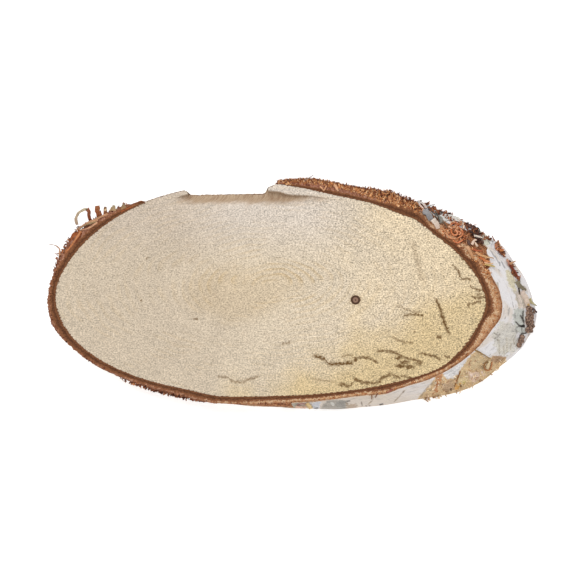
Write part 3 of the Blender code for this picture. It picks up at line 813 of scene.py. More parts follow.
@dataclass
class Board:
    """The sawn board of pale wood, with its scoop, broken rim and the seat of its pin knot."""

    trunk: Trunk
    sight: Sight
    spokes: int = 720
    wall_rows: int = 8
    upper_rings: Sequence[float] = (
        0.12, 0.35, 0.7, 1.2, 1.8, 2.5, 3.3, 4.2, 5.2, 6.3, 7.5, 8.8, 10.2, 11.8, 13.6, 16, 20, 26, 33, 41,
        49,
    )
    lower_rings: Sequence[float] = (0.2, 0.8, 2, 5, 12, 22, 34, 46)
    fine_from: float = math.radians(60.0)
    fine_to: float = math.radians(133.0)
    fine_share: float = 0.74
    scoop_left: float = -62.0 * MM
    scoop_right: float = 29.0 * MM
    scoop_run_in: float = 14.0 * MM
    scoop_run_out: float = 40.0 * MM
    scoop_depth: float = 3.5 * MM
    scoop_axis: float = 50.5 * MM
    scoop_reach: float = 7.6 * MM
    left_tongue: Table = ((-52, 49.6), (-63, 46.4))
    right_tongue: Table = ((29, 46.4), (4, 49.3), (-12, 51.6))
    broken_rim: Table = (
        (0.5, 60), (-3, 58), (-9, 54.5), (-12.4, 53), (-13, 50.8), (-51, 50.1), (-53.5, 51.8), (-74, 50.2),
    )
    farthest_break: float = 9.0 * MM
    break_step: float = 0.1 * MM
    beside: Table = ((0.0, -0.7 * MM), (0.9 * MM, 0.0), (-0.9 * MM, 0.0))
    knot: Spot = (32.0 * MM, -4.6 * MM)
    knot_radius: float = 2.4 * MM
    knot_recess: float = 0.5 * MM
    bare_rim: float = 2.0 * MM
    edges: dict[Spot, float] = field(default_factory=dict, repr=False)

    def rim_line(self, x: float) -> float:
        """The Y that the broken rim reaches at this X, a little frayed."""
        millimetres = x / MM
        if not self.broken_rim[-1][0] < millimetres < self.broken_rim[0][0]:
            return math.inf
        fray = 0.25 * rough(Vector((x, 0.0, 0.0)), 1.2 * MM) + 0.25 * rough(Vector((x, 0.0, 0.0)), 3.7 * MM)
        value = self.broken_rim[0][1]
        for (start, before), (stop, after) in zip(self.broken_rim, self.broken_rim[1:]):
            if millimetres <= start:
                value = before + (after - before) * min((start - millimetres) / (start - stop), 1.0)
        return (value + fray) * MM

    def edge(self, angle: float, depth: float) -> float:
        """Distance from the trunk's axis to the outside of the wood, broken rim included."""
        key = (round(angle, 6), round(depth, 6))
        if key not in self.edges:
            self.edges[key] = self._find_edge(angle, depth)
        return self.edges[key]

    def _find_edge(self, angle: float, depth: float) -> float:
        """Walk outwards until the broken rim or the bark is reached."""
        whole = self.trunk.edge(self.trunk.wood_edge, angle) - self.trunk.narrowing(angle, depth)
        radius = whole - self.farthest_break if math.sin(angle) > 0.5 else whole
        while radius < whole:
            x, y = self.trunk.over(angle, radius, depth)
            if y > self.rim_line(x):
                break
            radius += self.break_step
        return min(radius, whole)

    def place(self, share: float, angle: float, depth: float) -> Vector:
        """A point of the board.

        Args:
            share: How far out it lies, from 0 on the axis to 1 at the edge of the wood.
            angle: The angle round the trunk.
            depth: The depth below the upper face.

        Returns:
            The point, before the scoop is cut.
        """
        across = self.trunk.over(angle, share * self.edge(angle, depth), depth)
        return Vector((*across, self.trunk.thickness - depth))

    def scoop(self, point: Vector) -> float:
        """How deep the scoop is at this place of the face, between its two tongues of wood."""
        x, y = point.x / MM, point.y / MM
        ragged = 0.3 * rough(point, 1.6 * MM, 3.0)
        on_left = x < self.left_tongue[0][0] and y + ragged > read_table(self.left_tongue, x)
        on_right = x > self.right_tongue[-1][0] and y + ragged > read_table(self.right_tongue, x)
        if on_left or on_right:
            return 0.0
        start = ease(point.x, self.scoop_left, self.scoop_left + self.scoop_run_in)
        fade = ease(point.x, self.scoop_right, self.scoop_right - self.scoop_run_out)
        off = (point.y - self.scoop_axis) / (self.scoop_reach + 0.5 * MM * rough(point, 6.0 * MM, 1.0))
        bowl = max(1.0 - off * off, 0.0) ** 1.6
        return self.scoop_depth * start * fade * bowl

    def build(self) -> Object:
        """Model the board.

        Returns:
            The board's object, with its finish.
        """
        LOG.info("board: turning the slab and its rings")
        bpy.ops.mesh.primitive_circle_add(vertices=self.spokes, radius=1.0, fill_type="NGON")
        board = Bench.added("board")
        row = 1.0 / self.wall_rows
        with Bench.editing(board):
            bpy.ops.mesh.select_all(action="SELECT")
            for _ in range(self.wall_rows):
                bpy.ops.mesh.extrude_region_move(TRANSFORM_OT_translate={"value": (0.0, 0.0, -row)})
            self._cut_rings(self.lower_rings)
            Bench.select_faces(board, lambda middle: middle.z > -0.01 * row)
            self._cut_rings(self.upper_rings)
            Bench.select_faces(board, self._needs_detail)
            bpy.ops.mesh.subdivide(number_cuts=2, quadcorner="INNERVERT")
            bpy.ops.mesh.select_all(action="SELECT")
            bpy.ops.mesh.normals_make_consistent(inside=False)
        self._lay_out(board)
        self._seat_knot(board)
        Bench.smooth(board)
        board.data.materials.append(SawnBirch().material(self.trunk, self.sight, self))
        return board

    def _cut_rings(self, distances: Sequence[float]) -> None:
        """Inset the selected sawn face at these distances from its edge, in mm, and close its middle."""
        done = 0.0
        for distance in distances:
            bpy.ops.mesh.inset(thickness=(distance - done) * MM / self.trunk.radius, depth=0.0)
            done = distance
        bpy.ops.mesh.poke()

    def _needs_detail(self, middle: Vector) -> bool:
        """True for the faces of the unit slab round the scoop and along the broken rim."""
        angle = math.atan2(middle.y, middle.x)
        share = math.hypot(middle.x, middle.y)
        return self.fine_from < angle < self.fine_to and share > self.fine_share and middle.z > -0.99

    def _lay_out(self, board: Object) -> None:
        """Carry the unit slab down the leaning trunk, cut the scoop, and store what the finish reads."""
        thickness = self.trunk.thickness
        rim, scooped, cliff = [], [], []
        for vertex in board.data.vertices:
            angle = math.atan2(vertex.co.y, vertex.co.x)
            share = math.hypot(vertex.co.x, vertex.co.y)
            depth = -vertex.co.z * thickness
            point = self.place(share, angle, depth)
            hollow = self.scoop(point)
            beside = max(self.scoop(point + Vector((*step, 0.0))) for step in self.beside)
            point.z = (thickness - hollow) * (1.0 + vertex.co.z)
            arris = 0.1 * MM * ease(share, 1.0 - 0.3 * MM / self.trunk.radius, 1.0)
            point.z -= arris if vertex.co.z > -0.01 else 0.0
            point.z += arris if vertex.co.z < -0.99 else 0.0
            scooped.append(hollow / self.scoop_depth)
            # mark where a painted shadow falls at the foot of the tongues' undercut edges
            cliff.append(ease(beside - hollow, 0.5 * MM, 1.6 * MM) * ease(hollow, 0.0, 0.2 * MM))
            bare = self.trunk.bare(angle) and vertex.co.z < -0.01
            rim.append(self.bare_rim if bare else (1.0 - share) * self.trunk.radius)
            vertex.co = point
        for name, values in (("rim", rim), ("scooped", scooped), ("cliff", cliff)):
            Bench.paint(board, name, values)
        board.data.update()

    def _seat_knot(self, board: Object) -> None:
        """Cut the shallow seat that the pin knot sits in."""
        bpy.ops.mesh.primitive_cylinder_add(
            vertices=48, radius=self.knot_radius, depth=2.0 * self.knot_recess,
            location=(*self.knot, self.trunk.thickness),
        )
        cutter = Bench.added("knot_seat")
        Bench.finish(board, "BOOLEAN", operation="DIFFERENCE", object=cutter)
        bpy.data.objects.remove(cutter)


@dataclass(frozen=True)
class KnotWood:
    """The pin knot: a pinkish brown plug in a dark ring of bark, with a dark core."""

    plug: Rgb = (150, 118, 98)
    plug_rim: Rgb = (136, 104, 86)
    ring: Rgb = (72, 46, 30)
    seat: Rgb = (120, 92, 66)
    core: Rgb = (88, 62, 46)

    def material(self, knot: Spot, radius: float) -> Material:
        """Make the knot's material round its own middle."""
        g = Graph("pin_knot")
        place = g.place()
        x, y, _ = g.split(place)
        out = ((x - knot[0]) ** 2.0 + (y - knot[1]) ** 2.0) ** 0.5 / radius
        grain = g.noise(place, 0.5 * MM, 3.0)
        color = g.ramp(
            out + (grain - 0.5) * 0.22,
            (0.0, self.core), (0.12, self.core), (0.26, self.plug), (0.52, self.plug_rim),
            (0.64, self.ring), (0.86, self.ring), (0.98, self.seat),
        )
        return g.finish(g.shade(color, 0.85 + grain * 0.3), 0.7, grain, 0.1 * MM)


@dataclass
class PinKnot:
    """A small branch's end, sawn through with the board."""

    trunk: Trunk
    knot: Spot
    radius: float
    recess: float
    grooves: Table = ((0.14, 0.06), (0.34, 0.1), (0.3, -0.16), (0.7, 0.02), (0.35, 0.1), (0.2, -0.08))

    def build(self) -> Object:
        """Model the knot as a plug with a groove, a ring of bark and a raised core.

        Returns:
            The knot's object, with its finish.
        """
        bpy.ops.mesh.primitive_cylinder_add(
            vertices=40, radius=self.radius * 0.985, depth=self.recess,
            location=(*self.knot, self.trunk.thickness - 0.5 * self.recess),
        )
        knot = Bench.added("pin_knot")
        Bench.pick(knot)
        bpy.ops.object.transform_apply(location=True, rotation=True, scale=True)
        with Bench.editing(knot):
            Bench.select_faces(knot, lambda middle: middle.z > self.trunk.thickness - 0.01 * MM)
            for width, drop in self.grooves:
                bpy.ops.mesh.inset(thickness=width * MM, depth=-drop * MM)
            bpy.ops.mesh.poke()
        Bench.shape(knot, lambda p: p + Vector((0.0, 0.0, -0.04 * MM * (1.0 + rough(p, 0.6 * MM)))))
        Bench.smooth(knot, 60.0)
        knot.data.materials.append(KnotWood().material(self.knot, self.radius))
        return knot


@dataclass(frozen=True)
class BrownBark:
    """Dark fibrous bast beside the wood, and the tan to red-brown cork outside it."""

    seam: Rgb = (118, 74, 44)
    bast: Rgb = (134, 86, 54)
    darkest: Rgb = (86, 49, 28)
    rusty: Rgb = (150, 96, 64)
    orange: Rgb = (178, 112, 70)
    tan: Rgb = (204, 158, 116)
    pale_tan: Rgb = (226, 192, 156)
    dark_red: Rgb = (92, 50, 34)
    red: Rgb = (150, 92, 70)
    pink_red: Rgb = (186, 134, 110)

    def material(self) -> Material:
        """Make the bark's material, which reads how far each point lies in the bast and in the cork."""
        g = Graph("brown_bark")
        place = g.place()
        coarse = g.stretched(place, 1.7 * MM)
        fine = g.stretched(place, 0.6 * MM)
        streaks = g.stretched(g.pack(g.painted("round") * 0.4, g.painted("down"), 4.0 * MM), 0.8 * MM)
        inner = g.painted("inner") + fine * 0.13 + coarse * 0.10
        dark = g.ramp(
            inner,
            (0, self.seam), (0.14, self.bast), (0.4, self.darkest), (0.72, self.bast), (1, self.rusty),
        )
        speck = fine * 0.22 + coarse * 0.16 + streaks * 0.12 + 0.5
        tan = g.ramp(speck, (0.2, self.orange), (0.46, self.tan), (0.72, self.pale_tan))
        red = g.ramp(speck, (0.22, self.dark_red), (0.5, self.red), (0.78, self.pink_red))
        cork = g.mix(g.painted("tan"), red, tan)
        rind = (g.painted("outer") + fine * 0.1).step(0.78, 1.02)
        cork = g.mix(rind * 0.6, cork, g.mix(g.painted("tan") * 0.7, self.dark_red, self.orange))
        color = g.mix(inner.step(0.9, 1.12), dark, cork)
        wall = g.ramp(
            speck + streaks * 0.1,
            (0.2, self.dark_red), (0.42, self.rusty), (0.6, self.orange), (0.86, self.tan),
        )
        color = g.mix(g.painted("outer").step(1.02, 1.2) * 0.85, color, wall)
        return g.finish(color, 0.85, fine * 0.3 + coarse * 0.3 + streaks * 0.2 + 0.5, 0.5 * MM)


@dataclass
class BarkBand:
    """The open band of bast and cork, lumpy on the sawn faces and torn on the outside."""

    trunk: Trunk
    columns: int = 1500
    across_steps: int = 10
    wall_steps: int = 12
    proud: float = 0.03 * MM
    under_paper: float = 0.3 * MM
    tanness: Table = (
        (88, 0), (58, 0.15), (46, 0.7), (30, 1), (-96, 1), (-112, 0.25), (-150, 0.15), (-236, 0.1),
    )

    def section(self) -> list[Spot]:
        """The path round the band's section: share across the band and share down the wall."""
        top = [(i / self.across_steps, 0.0) for i in range(self.across_steps + 1)]
        wall = [(1.0, i / self.wall_steps) for i in range(1, self.wall_steps + 1)]
        return top + wall + [(0.5, 1.0), (0.0, 1.0), (0.0, 0.5), (0.0, 0.0)]

    def teeth(self, flat: Vector, angle: float) -> float:
        """How far the dark bast bites into the wood: sharp teeth at the left end, small ones elsewhere."""
        saw = abs(rough(flat, 0.9 * MM)) + 0.5 * abs(rough(flat, 0.5 * MM, 2.0))
        leftness = ease(math.cos(angle), -0.3, -0.85)
        return (0.04 + (0.2 + 0.4 * leftness) * saw) * MM

    def point(self, angle: float, across: float, down: float) -> Vector:
        """A point of the band's skin.

        Args:
            angle: The angle round the trunk.
            across: 0 at the wood, 1 at the outside of the cork.
            down: 0 on the upper face, 1 on the lower one.

        Returns:
            The point, roughened.
        """
        trunk = self.trunk
        flat = Vector((angle * trunk.radius, down * 20.0 * MM, across * 4.0 * MM))
        rim = Vector((flat.x, flat.y, 0.0))
        inside = trunk.edge(trunk.wood_edge, angle) - (self.teeth(rim, angle) if down < 0.01 else 0.1 * MM)
        outside = trunk.edge(trunk.cork_edge, angle)
        if down > 0.0:
            outside = trunk.bark_radius(angle, down * trunk.thickness) - trunk.paper_outside
            outside -= self.under_paper * ease(down, 0.0, 0.15)
        room = ease(outside - inside, 0.0, 2.0 * MM)
        ragged = 0.4 * rough(rim, 3.0 * MM) + 0.35 * rough(rim, 1.2 * MM) + 0.25 * rough(rim, 0.6 * MM)
        outside += ragged * 0.8 * MM * room
        radius = inside + (outside - inside) * across
        point = trunk.point(angle, radius, down * trunk.thickness)
        if down < 0.01:
            lumps = 0.5 * rough(flat, 1.5 * MM, 4.0) + 0.4 * rough(flat, 0.7 * MM, 5.0)
            point.z += self.proud + 0.3 * MM * max(lumps, -0.1) * ease(across, 0.0, 0.2)
            point.z -= 0.3 * MM * ease(across, 0.88, 1.0)
        if down > 0.99:
            point.z = self.proud
        return point

    def build(self) -> Object:
        """Model the band.

        Returns:
            The band's object, with its finish.
        """
        LOG.info("bark band: bending it round the wood")
        trunk, section = self.trunk, self.section()
        rows = len(section) - 1
        bpy.ops.mesh.primitive_grid_add(x_subdivisions=self.columns, y_subdivisions=rows, size=2.0)
        band = Bench.added("bast_and_cork")
        edges = (trunk.wood_edge, trunk.bast_edge, trunk.cork_edge)
        layers: dict[str, list[float]] = {"round": [], "down": [], "inner": [], "outer": [], "tan": []}
        for vertex in band.data.vertices:
            angle = trunk.bare_from + (trunk.bare_to - trunk.bare_from) * (vertex.co.x + 1.0) / 2.0
            across, down = section[round((vertex.co.y + 1.0) / 2.0 * rows)]
            wood, bast, cork = (trunk.edge(table, angle) for table in edges)
            radius = wood + (cork - wood) * across
            beyond = (radius - bast) / max(cork - bast, 0.4 * MM) + down * 4.0
            layers["round"].append(angle * trunk.radius)
            layers["down"].append(down * 20.0 * MM)
            layers["inner"].append((radius - wood) / max(bast - wood, 0.4 * MM))
            layers["outer"].append(beyond if across > 0.9 else across)
            layers["tan"].append(read_table(self.tanness, math.degrees(angle)))
            vertex.co = self.point(angle, across, down)
        for name, values in layers.items():
            Bench.paint(band, name, values)
        Bench.close(band)
        Bench.smooth(band, 60.0)
        band.data.materials.append(BrownBark().material())
        return band


@dataclass(frozen=True)
class Mark:
    """Strokes or, with no width, filled outlines of one colour on the paper bark, in spots of the picture.

    The width and the raggedness of the edges are in spots too.
    """

    name: str
    tone: Rgb
    width: float
    strength: float
    ragged: float
    strokes: Sequence[Sequence[Spot]]
    soft: float = 0.5

    def cover(self, spot: Spot, fray: float) -> float:
        """How much of the mark lies on a spot.

        Args:
            spot: The spot of the picture.
            fray: Noise about 0 that frays the edges.

        Returns:
            The cover, from 0 to the mark's strength.
        """
        reach = self.width + self.ragged + self.soft
        best = 0.0
        for stroke in self.strokes:
            if not all(low - reach < at < high + reach for at, (low, high) in zip(spot, self.span(stroke))):
                continue
            if self.width:
                inside = 0.5 * self.width - self.distance(stroke, spot)
            else:
                inside = self.depth(stroke, spot)
            best = max(best, ease(inside + self.ragged * fray, -self.soft, self.soft))
        return best * self.strength

    @staticmethod
    def span(stroke: Sequence[Spot]) -> list[Spot]:
        """The least and greatest of a stroke's spots, across and down the picture."""
        return [(min(values), max(values)) for values in zip(*stroke)]

    @staticmethod
    def distance(stroke: Sequence[Spot], spot: Spot) -> float:
        """Distance from a spot to the nearest part of a stroke."""
        here = Vector(spot)
        best = math.inf
        for start, stop in zip(stroke, stroke[1:]):
            way = Vector(stop) - Vector(start)
            share = min(max((here - Vector(start)).dot(way) / way.length_squared, 0.0), 1.0)
            best = min(best, (Vector(start) + way * share - here).length)
        return best

    @staticmethod
    def depth(outline: Sequence[Spot], spot: Spot) -> float:
        """How far inside an outline a spot lies, or less than 0 outside it."""
        x, y = spot
        inside = False
        closed = (*outline, outline[0])
        for (x0, y0), (x1, y1) in zip(closed, closed[1:]):
            if (y0 > y) != (y1 > y) and x < x0 + (x1 - x0) * (y - y0) / (y1 - y0):
                inside = not inside
        return Mark.distance(closed, spot) * (1.0 if inside else -1.0)


PAPER_MARKS = (
    Mark("green grey by the tatters", (206, 204, 182), 0, 0.8, 1, (
        ((480, 229), (487, 229), (493, 240), (490, 245), (484, 246), (480, 238)),)),
    Mark("cream by the fringe", (208, 198, 168), 0, 0.9, 1, (
        ((506, 270), (512, 271), (516, 279), (517, 290), (513, 292), (509, 284)),)),
    Mark("green grey by the burl", (188, 190, 180), 0, 0.8, 1.2, (
        ((514, 309), (520, 307), (525, 310), (526, 333), (521, 335), (516, 331), (513, 320)),)),
    Mark("grey cream under the burl", (208, 202, 190), 0, 0.8, 2, (
        ((492, 335), (500, 322), (515, 325), (519, 340), (515, 352), (504, 357), (495, 352)),)),
    Mark("tan above the burl", (210, 194, 180), 0, 0.9, 0.8, (
        ((516, 293), (523, 291), (530, 300), (528, 309), (520, 308), (517, 300)),)),
    Mark("torn tan leaves", (212, 182, 141), 0, 1, 0.7, (
        ((463, 363), (468, 357), (473, 352.5), (475.5, 350.3), (480, 352.7), (488, 357.7), (494, 357),
         (500, 356.5), (506, 357.5), (508, 364), (492, 378), (470, 392), (440, 401), (416, 404),
         (417, 398.5), (421, 394), (427, 387), (432, 383), (434, 377), (437, 372.5), (441, 371.5),
         (444, 375.5), (446, 378.5), (452, 377.8), (456, 375), (460, 369.5), (463, 365)),)),
    Mark("pale leaf", (222, 198, 154), 0, 0.9, 0.8, (
        ((459, 371), (468, 370), (468, 380), (463, 386), (457, 384)),)),
    Mark("pink leaf", (222, 194, 172), 0, 0.9, 0.8, (
        ((468, 372), (478, 371), (481, 376), (474, 383), (469, 380)),)),
    Mark("brown hollow", (186, 156, 126), 0, 0.8, 1, (
        ((440, 382), (451, 380), (454, 386), (451, 391), (443, 392)),)),
    Mark("dull leaf", (206, 184, 146), 0, 0.7, 1, (
        ((476, 355), (484, 359), (483, 368), (470, 369), (466, 362)),)),
    Mark("brown lip", (174, 140, 110), 0, 0.9, 0.8, (
        ((493, 357), (500, 355.8), (506, 357), (504, 361.5), (497, 362.5), (491, 360.5)),)),
    Mark("orange lip", (192, 132, 90), 0, 0.9, 0.8, (
        ((434, 374), (442, 373), (440.5, 380), (437.5, 386), (437.5, 392.5), (433.5, 393), (434, 386),
         (436, 380)),)),
    Mark("amber spot", (214, 160, 88), 0, 0.9, 0.6, (
        ((455.5, 384), (460.5, 382.5), (461.5, 387), (458.5, 389.5), (455, 388.5)),)),
    Mark("olive spot", (206, 188, 110), 0, 0.6, 0.6, (
        ((462.5, 381), (466, 380.5), (467, 385), (463.5, 386.5)),)),
    Mark("rosy chip", (228, 204, 192), 0, 0.9, 0.6, (
        ((481, 371.5), (484.5, 371), (485, 375), (481.5, 376)),)),
    Mark("pale chip", (240, 218, 206), 0, 0.9, 0.2, (
        ((470, 374), (472.4, 374.6), (471, 376.4)),)),
    Mark("grey scar", (166, 158, 148), 0, 0.9, 0.6, (
        ((320, 408.5), (323, 403), (327, 400.3), (334, 399.5), (346, 399.5), (348, 404), (346, 409.5),
         (330, 410)),)),
    Mark("dark of the scar", (144, 140, 134), 0, 0.7, 1, (
        ((337, 400.5), (345, 400.5), (345, 408), (337, 408)),)),
    Mark("grey end of the scar", (176, 170, 154), 0, 0.9, 0.6, (
        ((282, 401.5), (300, 401.3), (300, 405), (295, 408.5), (284, 408.5)),)),
    Mark("brown end of the scar", (164, 138, 112), 0, 0.7, 1, (
        ((346, 403.5), (358, 403), (358, 409.5), (346, 409.5)),)),
    Mark("lavender scar", (206, 206, 212), 0, 0.9, 0.6, (
        ((311, 402), (321, 401), (319, 408), (311, 409)),)),
    Mark("white wedge", (222, 218, 216), 0, 1, 0.3, (
        ((443, 375.5), (447, 371.5), (452, 368), (457, 365.5), (462, 363.5), (460, 368.5), (455, 375),
         (448, 378.5)),)),
    Mark("dark flecks on the leaves", (104, 74, 46), 2, 1, 0.2, (
        ((450.5, 389), (450.9, 389.6)),
        ((460.3, 385), (460.8, 386.2)))),
    Mark("brown seams in the leaves", (188, 156, 120), 1.1, 0.7, 0.2, (
        ((468.5, 373), (468.8, 379)),
        ((478.5, 369), (480, 375), (478, 379)),
        ((445, 383), (452, 380), (457, 378)))),
    Mark("pale fleck", (214, 210, 202), 2.4, 0.9, 0.2, (
        ((331.5, 402.5), (333, 404)),)),
    Mark("dark flecks below", (76, 70, 68), 1.6, 0.95, 0.2, (
        ((347.2, 400.6), (349.4, 400.4)),
        ((314.5, 408), (317.5, 407.8)),
        ((380, 404.3), (382.5, 404)))),
    Mark("brown flecks below", (114, 92, 76), 1.4, 0.7, 0.2, (
        ((361, 401.5), (362, 405)),
        ((366, 405.5), (367, 407.2)),
        ((369.3, 405), (370, 407)))),
    Mark("lower seams", (156, 136, 112), 0.9, 0.9, 0.2, (
        ((393.7, 401.8), (399, 396), (404.2, 389.8)),
        ((367.5, 404.5), (372, 400), (373, 397)),
        ((420.5, 396.5), (424, 390.5), (427.5, 386), (432, 383)),
        ((424, 391), (432, 389.5)))),
    Mark("grey cross", (120, 108, 98), 0.9, 0.85, 0.2, (
        ((494, 333), (500.3, 338)),
        ((497, 331.5), (497.3, 340.5)),
        ((494.5, 338.7), (499.7, 334)))),
    Mark("upper grey threads", (150, 148, 150), 1.1, 0.8, 0.2, (
        ((489, 239.5), (491.2, 243.2)),
        ((494.5, 240.5), (492.5, 246)),
        ((491.3, 250.3), (493, 252.5), (495, 256.5)),
        ((495.8, 256), (499.6, 262.5)),
        ((502.5, 261.5), (504, 265), (505.5, 267.8)),
        ((500.3, 262), (500.6, 265.5)))),
    Mark("soft grey dashes", (156, 152, 148), 1.4, 0.8, 0.2, (
        ((509.3, 308.5), (508.3, 314.5)),
        ((509, 309.3), (509.4, 310.5)),
        ((515, 313.3), (515.4, 318)),
        ((516, 329), (517, 333)),
        ((512, 331), (514, 331.4)))),
    Mark("soft tan dashes", (184, 174, 156), 1.4, 0.8, 0.2, (
        ((497.5, 283), (498.3, 288)),
        ((514, 289), (515, 293)),
        ((516.5, 291), (517.5, 300), (520, 305.5)),
        ((519.5, 292), (523, 300), (524, 306)),
        ((510.8, 343), (510.8, 349.5)),
        ((514, 339), (514.5, 344)),
        ((503.5, 346), (504.5, 356)),
        ((498.5, 340), (499.5, 354)),
        ((506.5, 338), (507.5, 352)))),
    Mark("dark scars by the burl", (62, 54, 48), 1.5, 0.95, 0.2, (
        ((523.6, 311.3), (523.3, 316), (523.4, 321)),
        ((520.9, 315.5), (522.5, 318.5), (524.6, 321.5)),
        ((515.8, 321.8), (517.8, 324), (520, 325.6)),
        ((524.3, 321), (524.6, 327)),
        ((519.6, 341), (520.2, 335.5), (522, 333.6), (526, 333.2)))),
    Mark("darkest scar", (40, 38, 34), 2.6, 1, 0.2, (
        ((519.5, 325.8), (524.5, 326)),)),
    Mark("grey scars by the burl", (114, 108, 102), 1.4, 0.7, 0.2, (
        ((517, 327.5), (520, 326)),
        ((522, 328), (522.5, 333)))),
)


@dataclass(frozen=True)
class WhitePaper:
    """White papery birch bark: smooth and chalky, with thin grey streaks and lenticels round the trunk."""

    white: Rgb = (225, 221, 221)
    cream: Rgb = (213, 199, 184)
    grey: Rgb = (164, 157, 154)
    dark: Rgb = (84, 74, 70)
    layers: Sequence[tuple[float, Rgb]] = (
        (0.32, (150, 108, 78)), (0.5, (208, 178, 146)), (0.66, (226, 212, 196)),
    )

    def material(self) -> Material:
        """Make the outer face of the paper, with the marks that are painted on it."""
        g = Graph("white_birch_paper")
        around, down, place = g.painted("round"), g.painted("down"), g.place()
        cloud = g.stretched(g.pack(around * 0.6, down, 0.0), 6.0 * MM)
        streak = g.stretched(g.pack(around * 0.2, down, 0.0), 0.8 * MM, 3.0)
        fine = g.stretched(place, 0.5 * MM)
        color = g.mix(cloud.step(-0.1, 0.9) * 0.7, self.white, self.cream)
        color = g.mix(around.step(-42.0 * MM, -62.0 * MM) * 0.9, color, self.cream)
        color = g.mix(streak.step(0.35, 1.1) * 0.5, color, self.grey)
        dashes = g.noise(g.pack(around * 0.25, down, 31.0), 0.7 * MM, 1.0)
        lenticel = dashes.step(0.70, 0.75) * cloud.step(-0.8, 0.3)
        color = g.mix(lenticel * 0.7, color, self.dark)
        painted = g.painted("paint", "Color")
        cover = g.painted("paint", "Alpha")
        folds = g.stretched(g.pack(around, down * 0.25, 7.0 * MM), 1.1 * MM)
        mottled = g.shade(painted, 1.02 + streak * 0.12 + folds * 0.13 + fine * 0.12)
        color = g.mix(cover, color, mottled)
        color = g.shade(color, 1.0 + fine * 0.05)
        height = streak * 0.2 + (fine + folds) * (0.1 + cover * 0.2)
        height = height + cloud * 0.2 - cover * 0.3 - lenticel * 0.3 + 0.5
        return g.finish(color, 0.62, height, 0.3 * MM)

    def edge(self) -> Material:
        """Make the torn edge and the inner face, which show the paper's tan layers."""
        g = Graph("paper_layers")
        place = g.place()
        leaves = g.noise(g.pack(g.painted("round") * 0.3, g.painted("down"), 0.0), 0.5 * MM, 2.0)
        fine = g.noise(place, 0.8 * MM, 3.0)
        return g.finish(g.ramp(leaves * 0.5 + fine * 0.5, *self.layers), 0.75, leaves, 0.2 * MM)


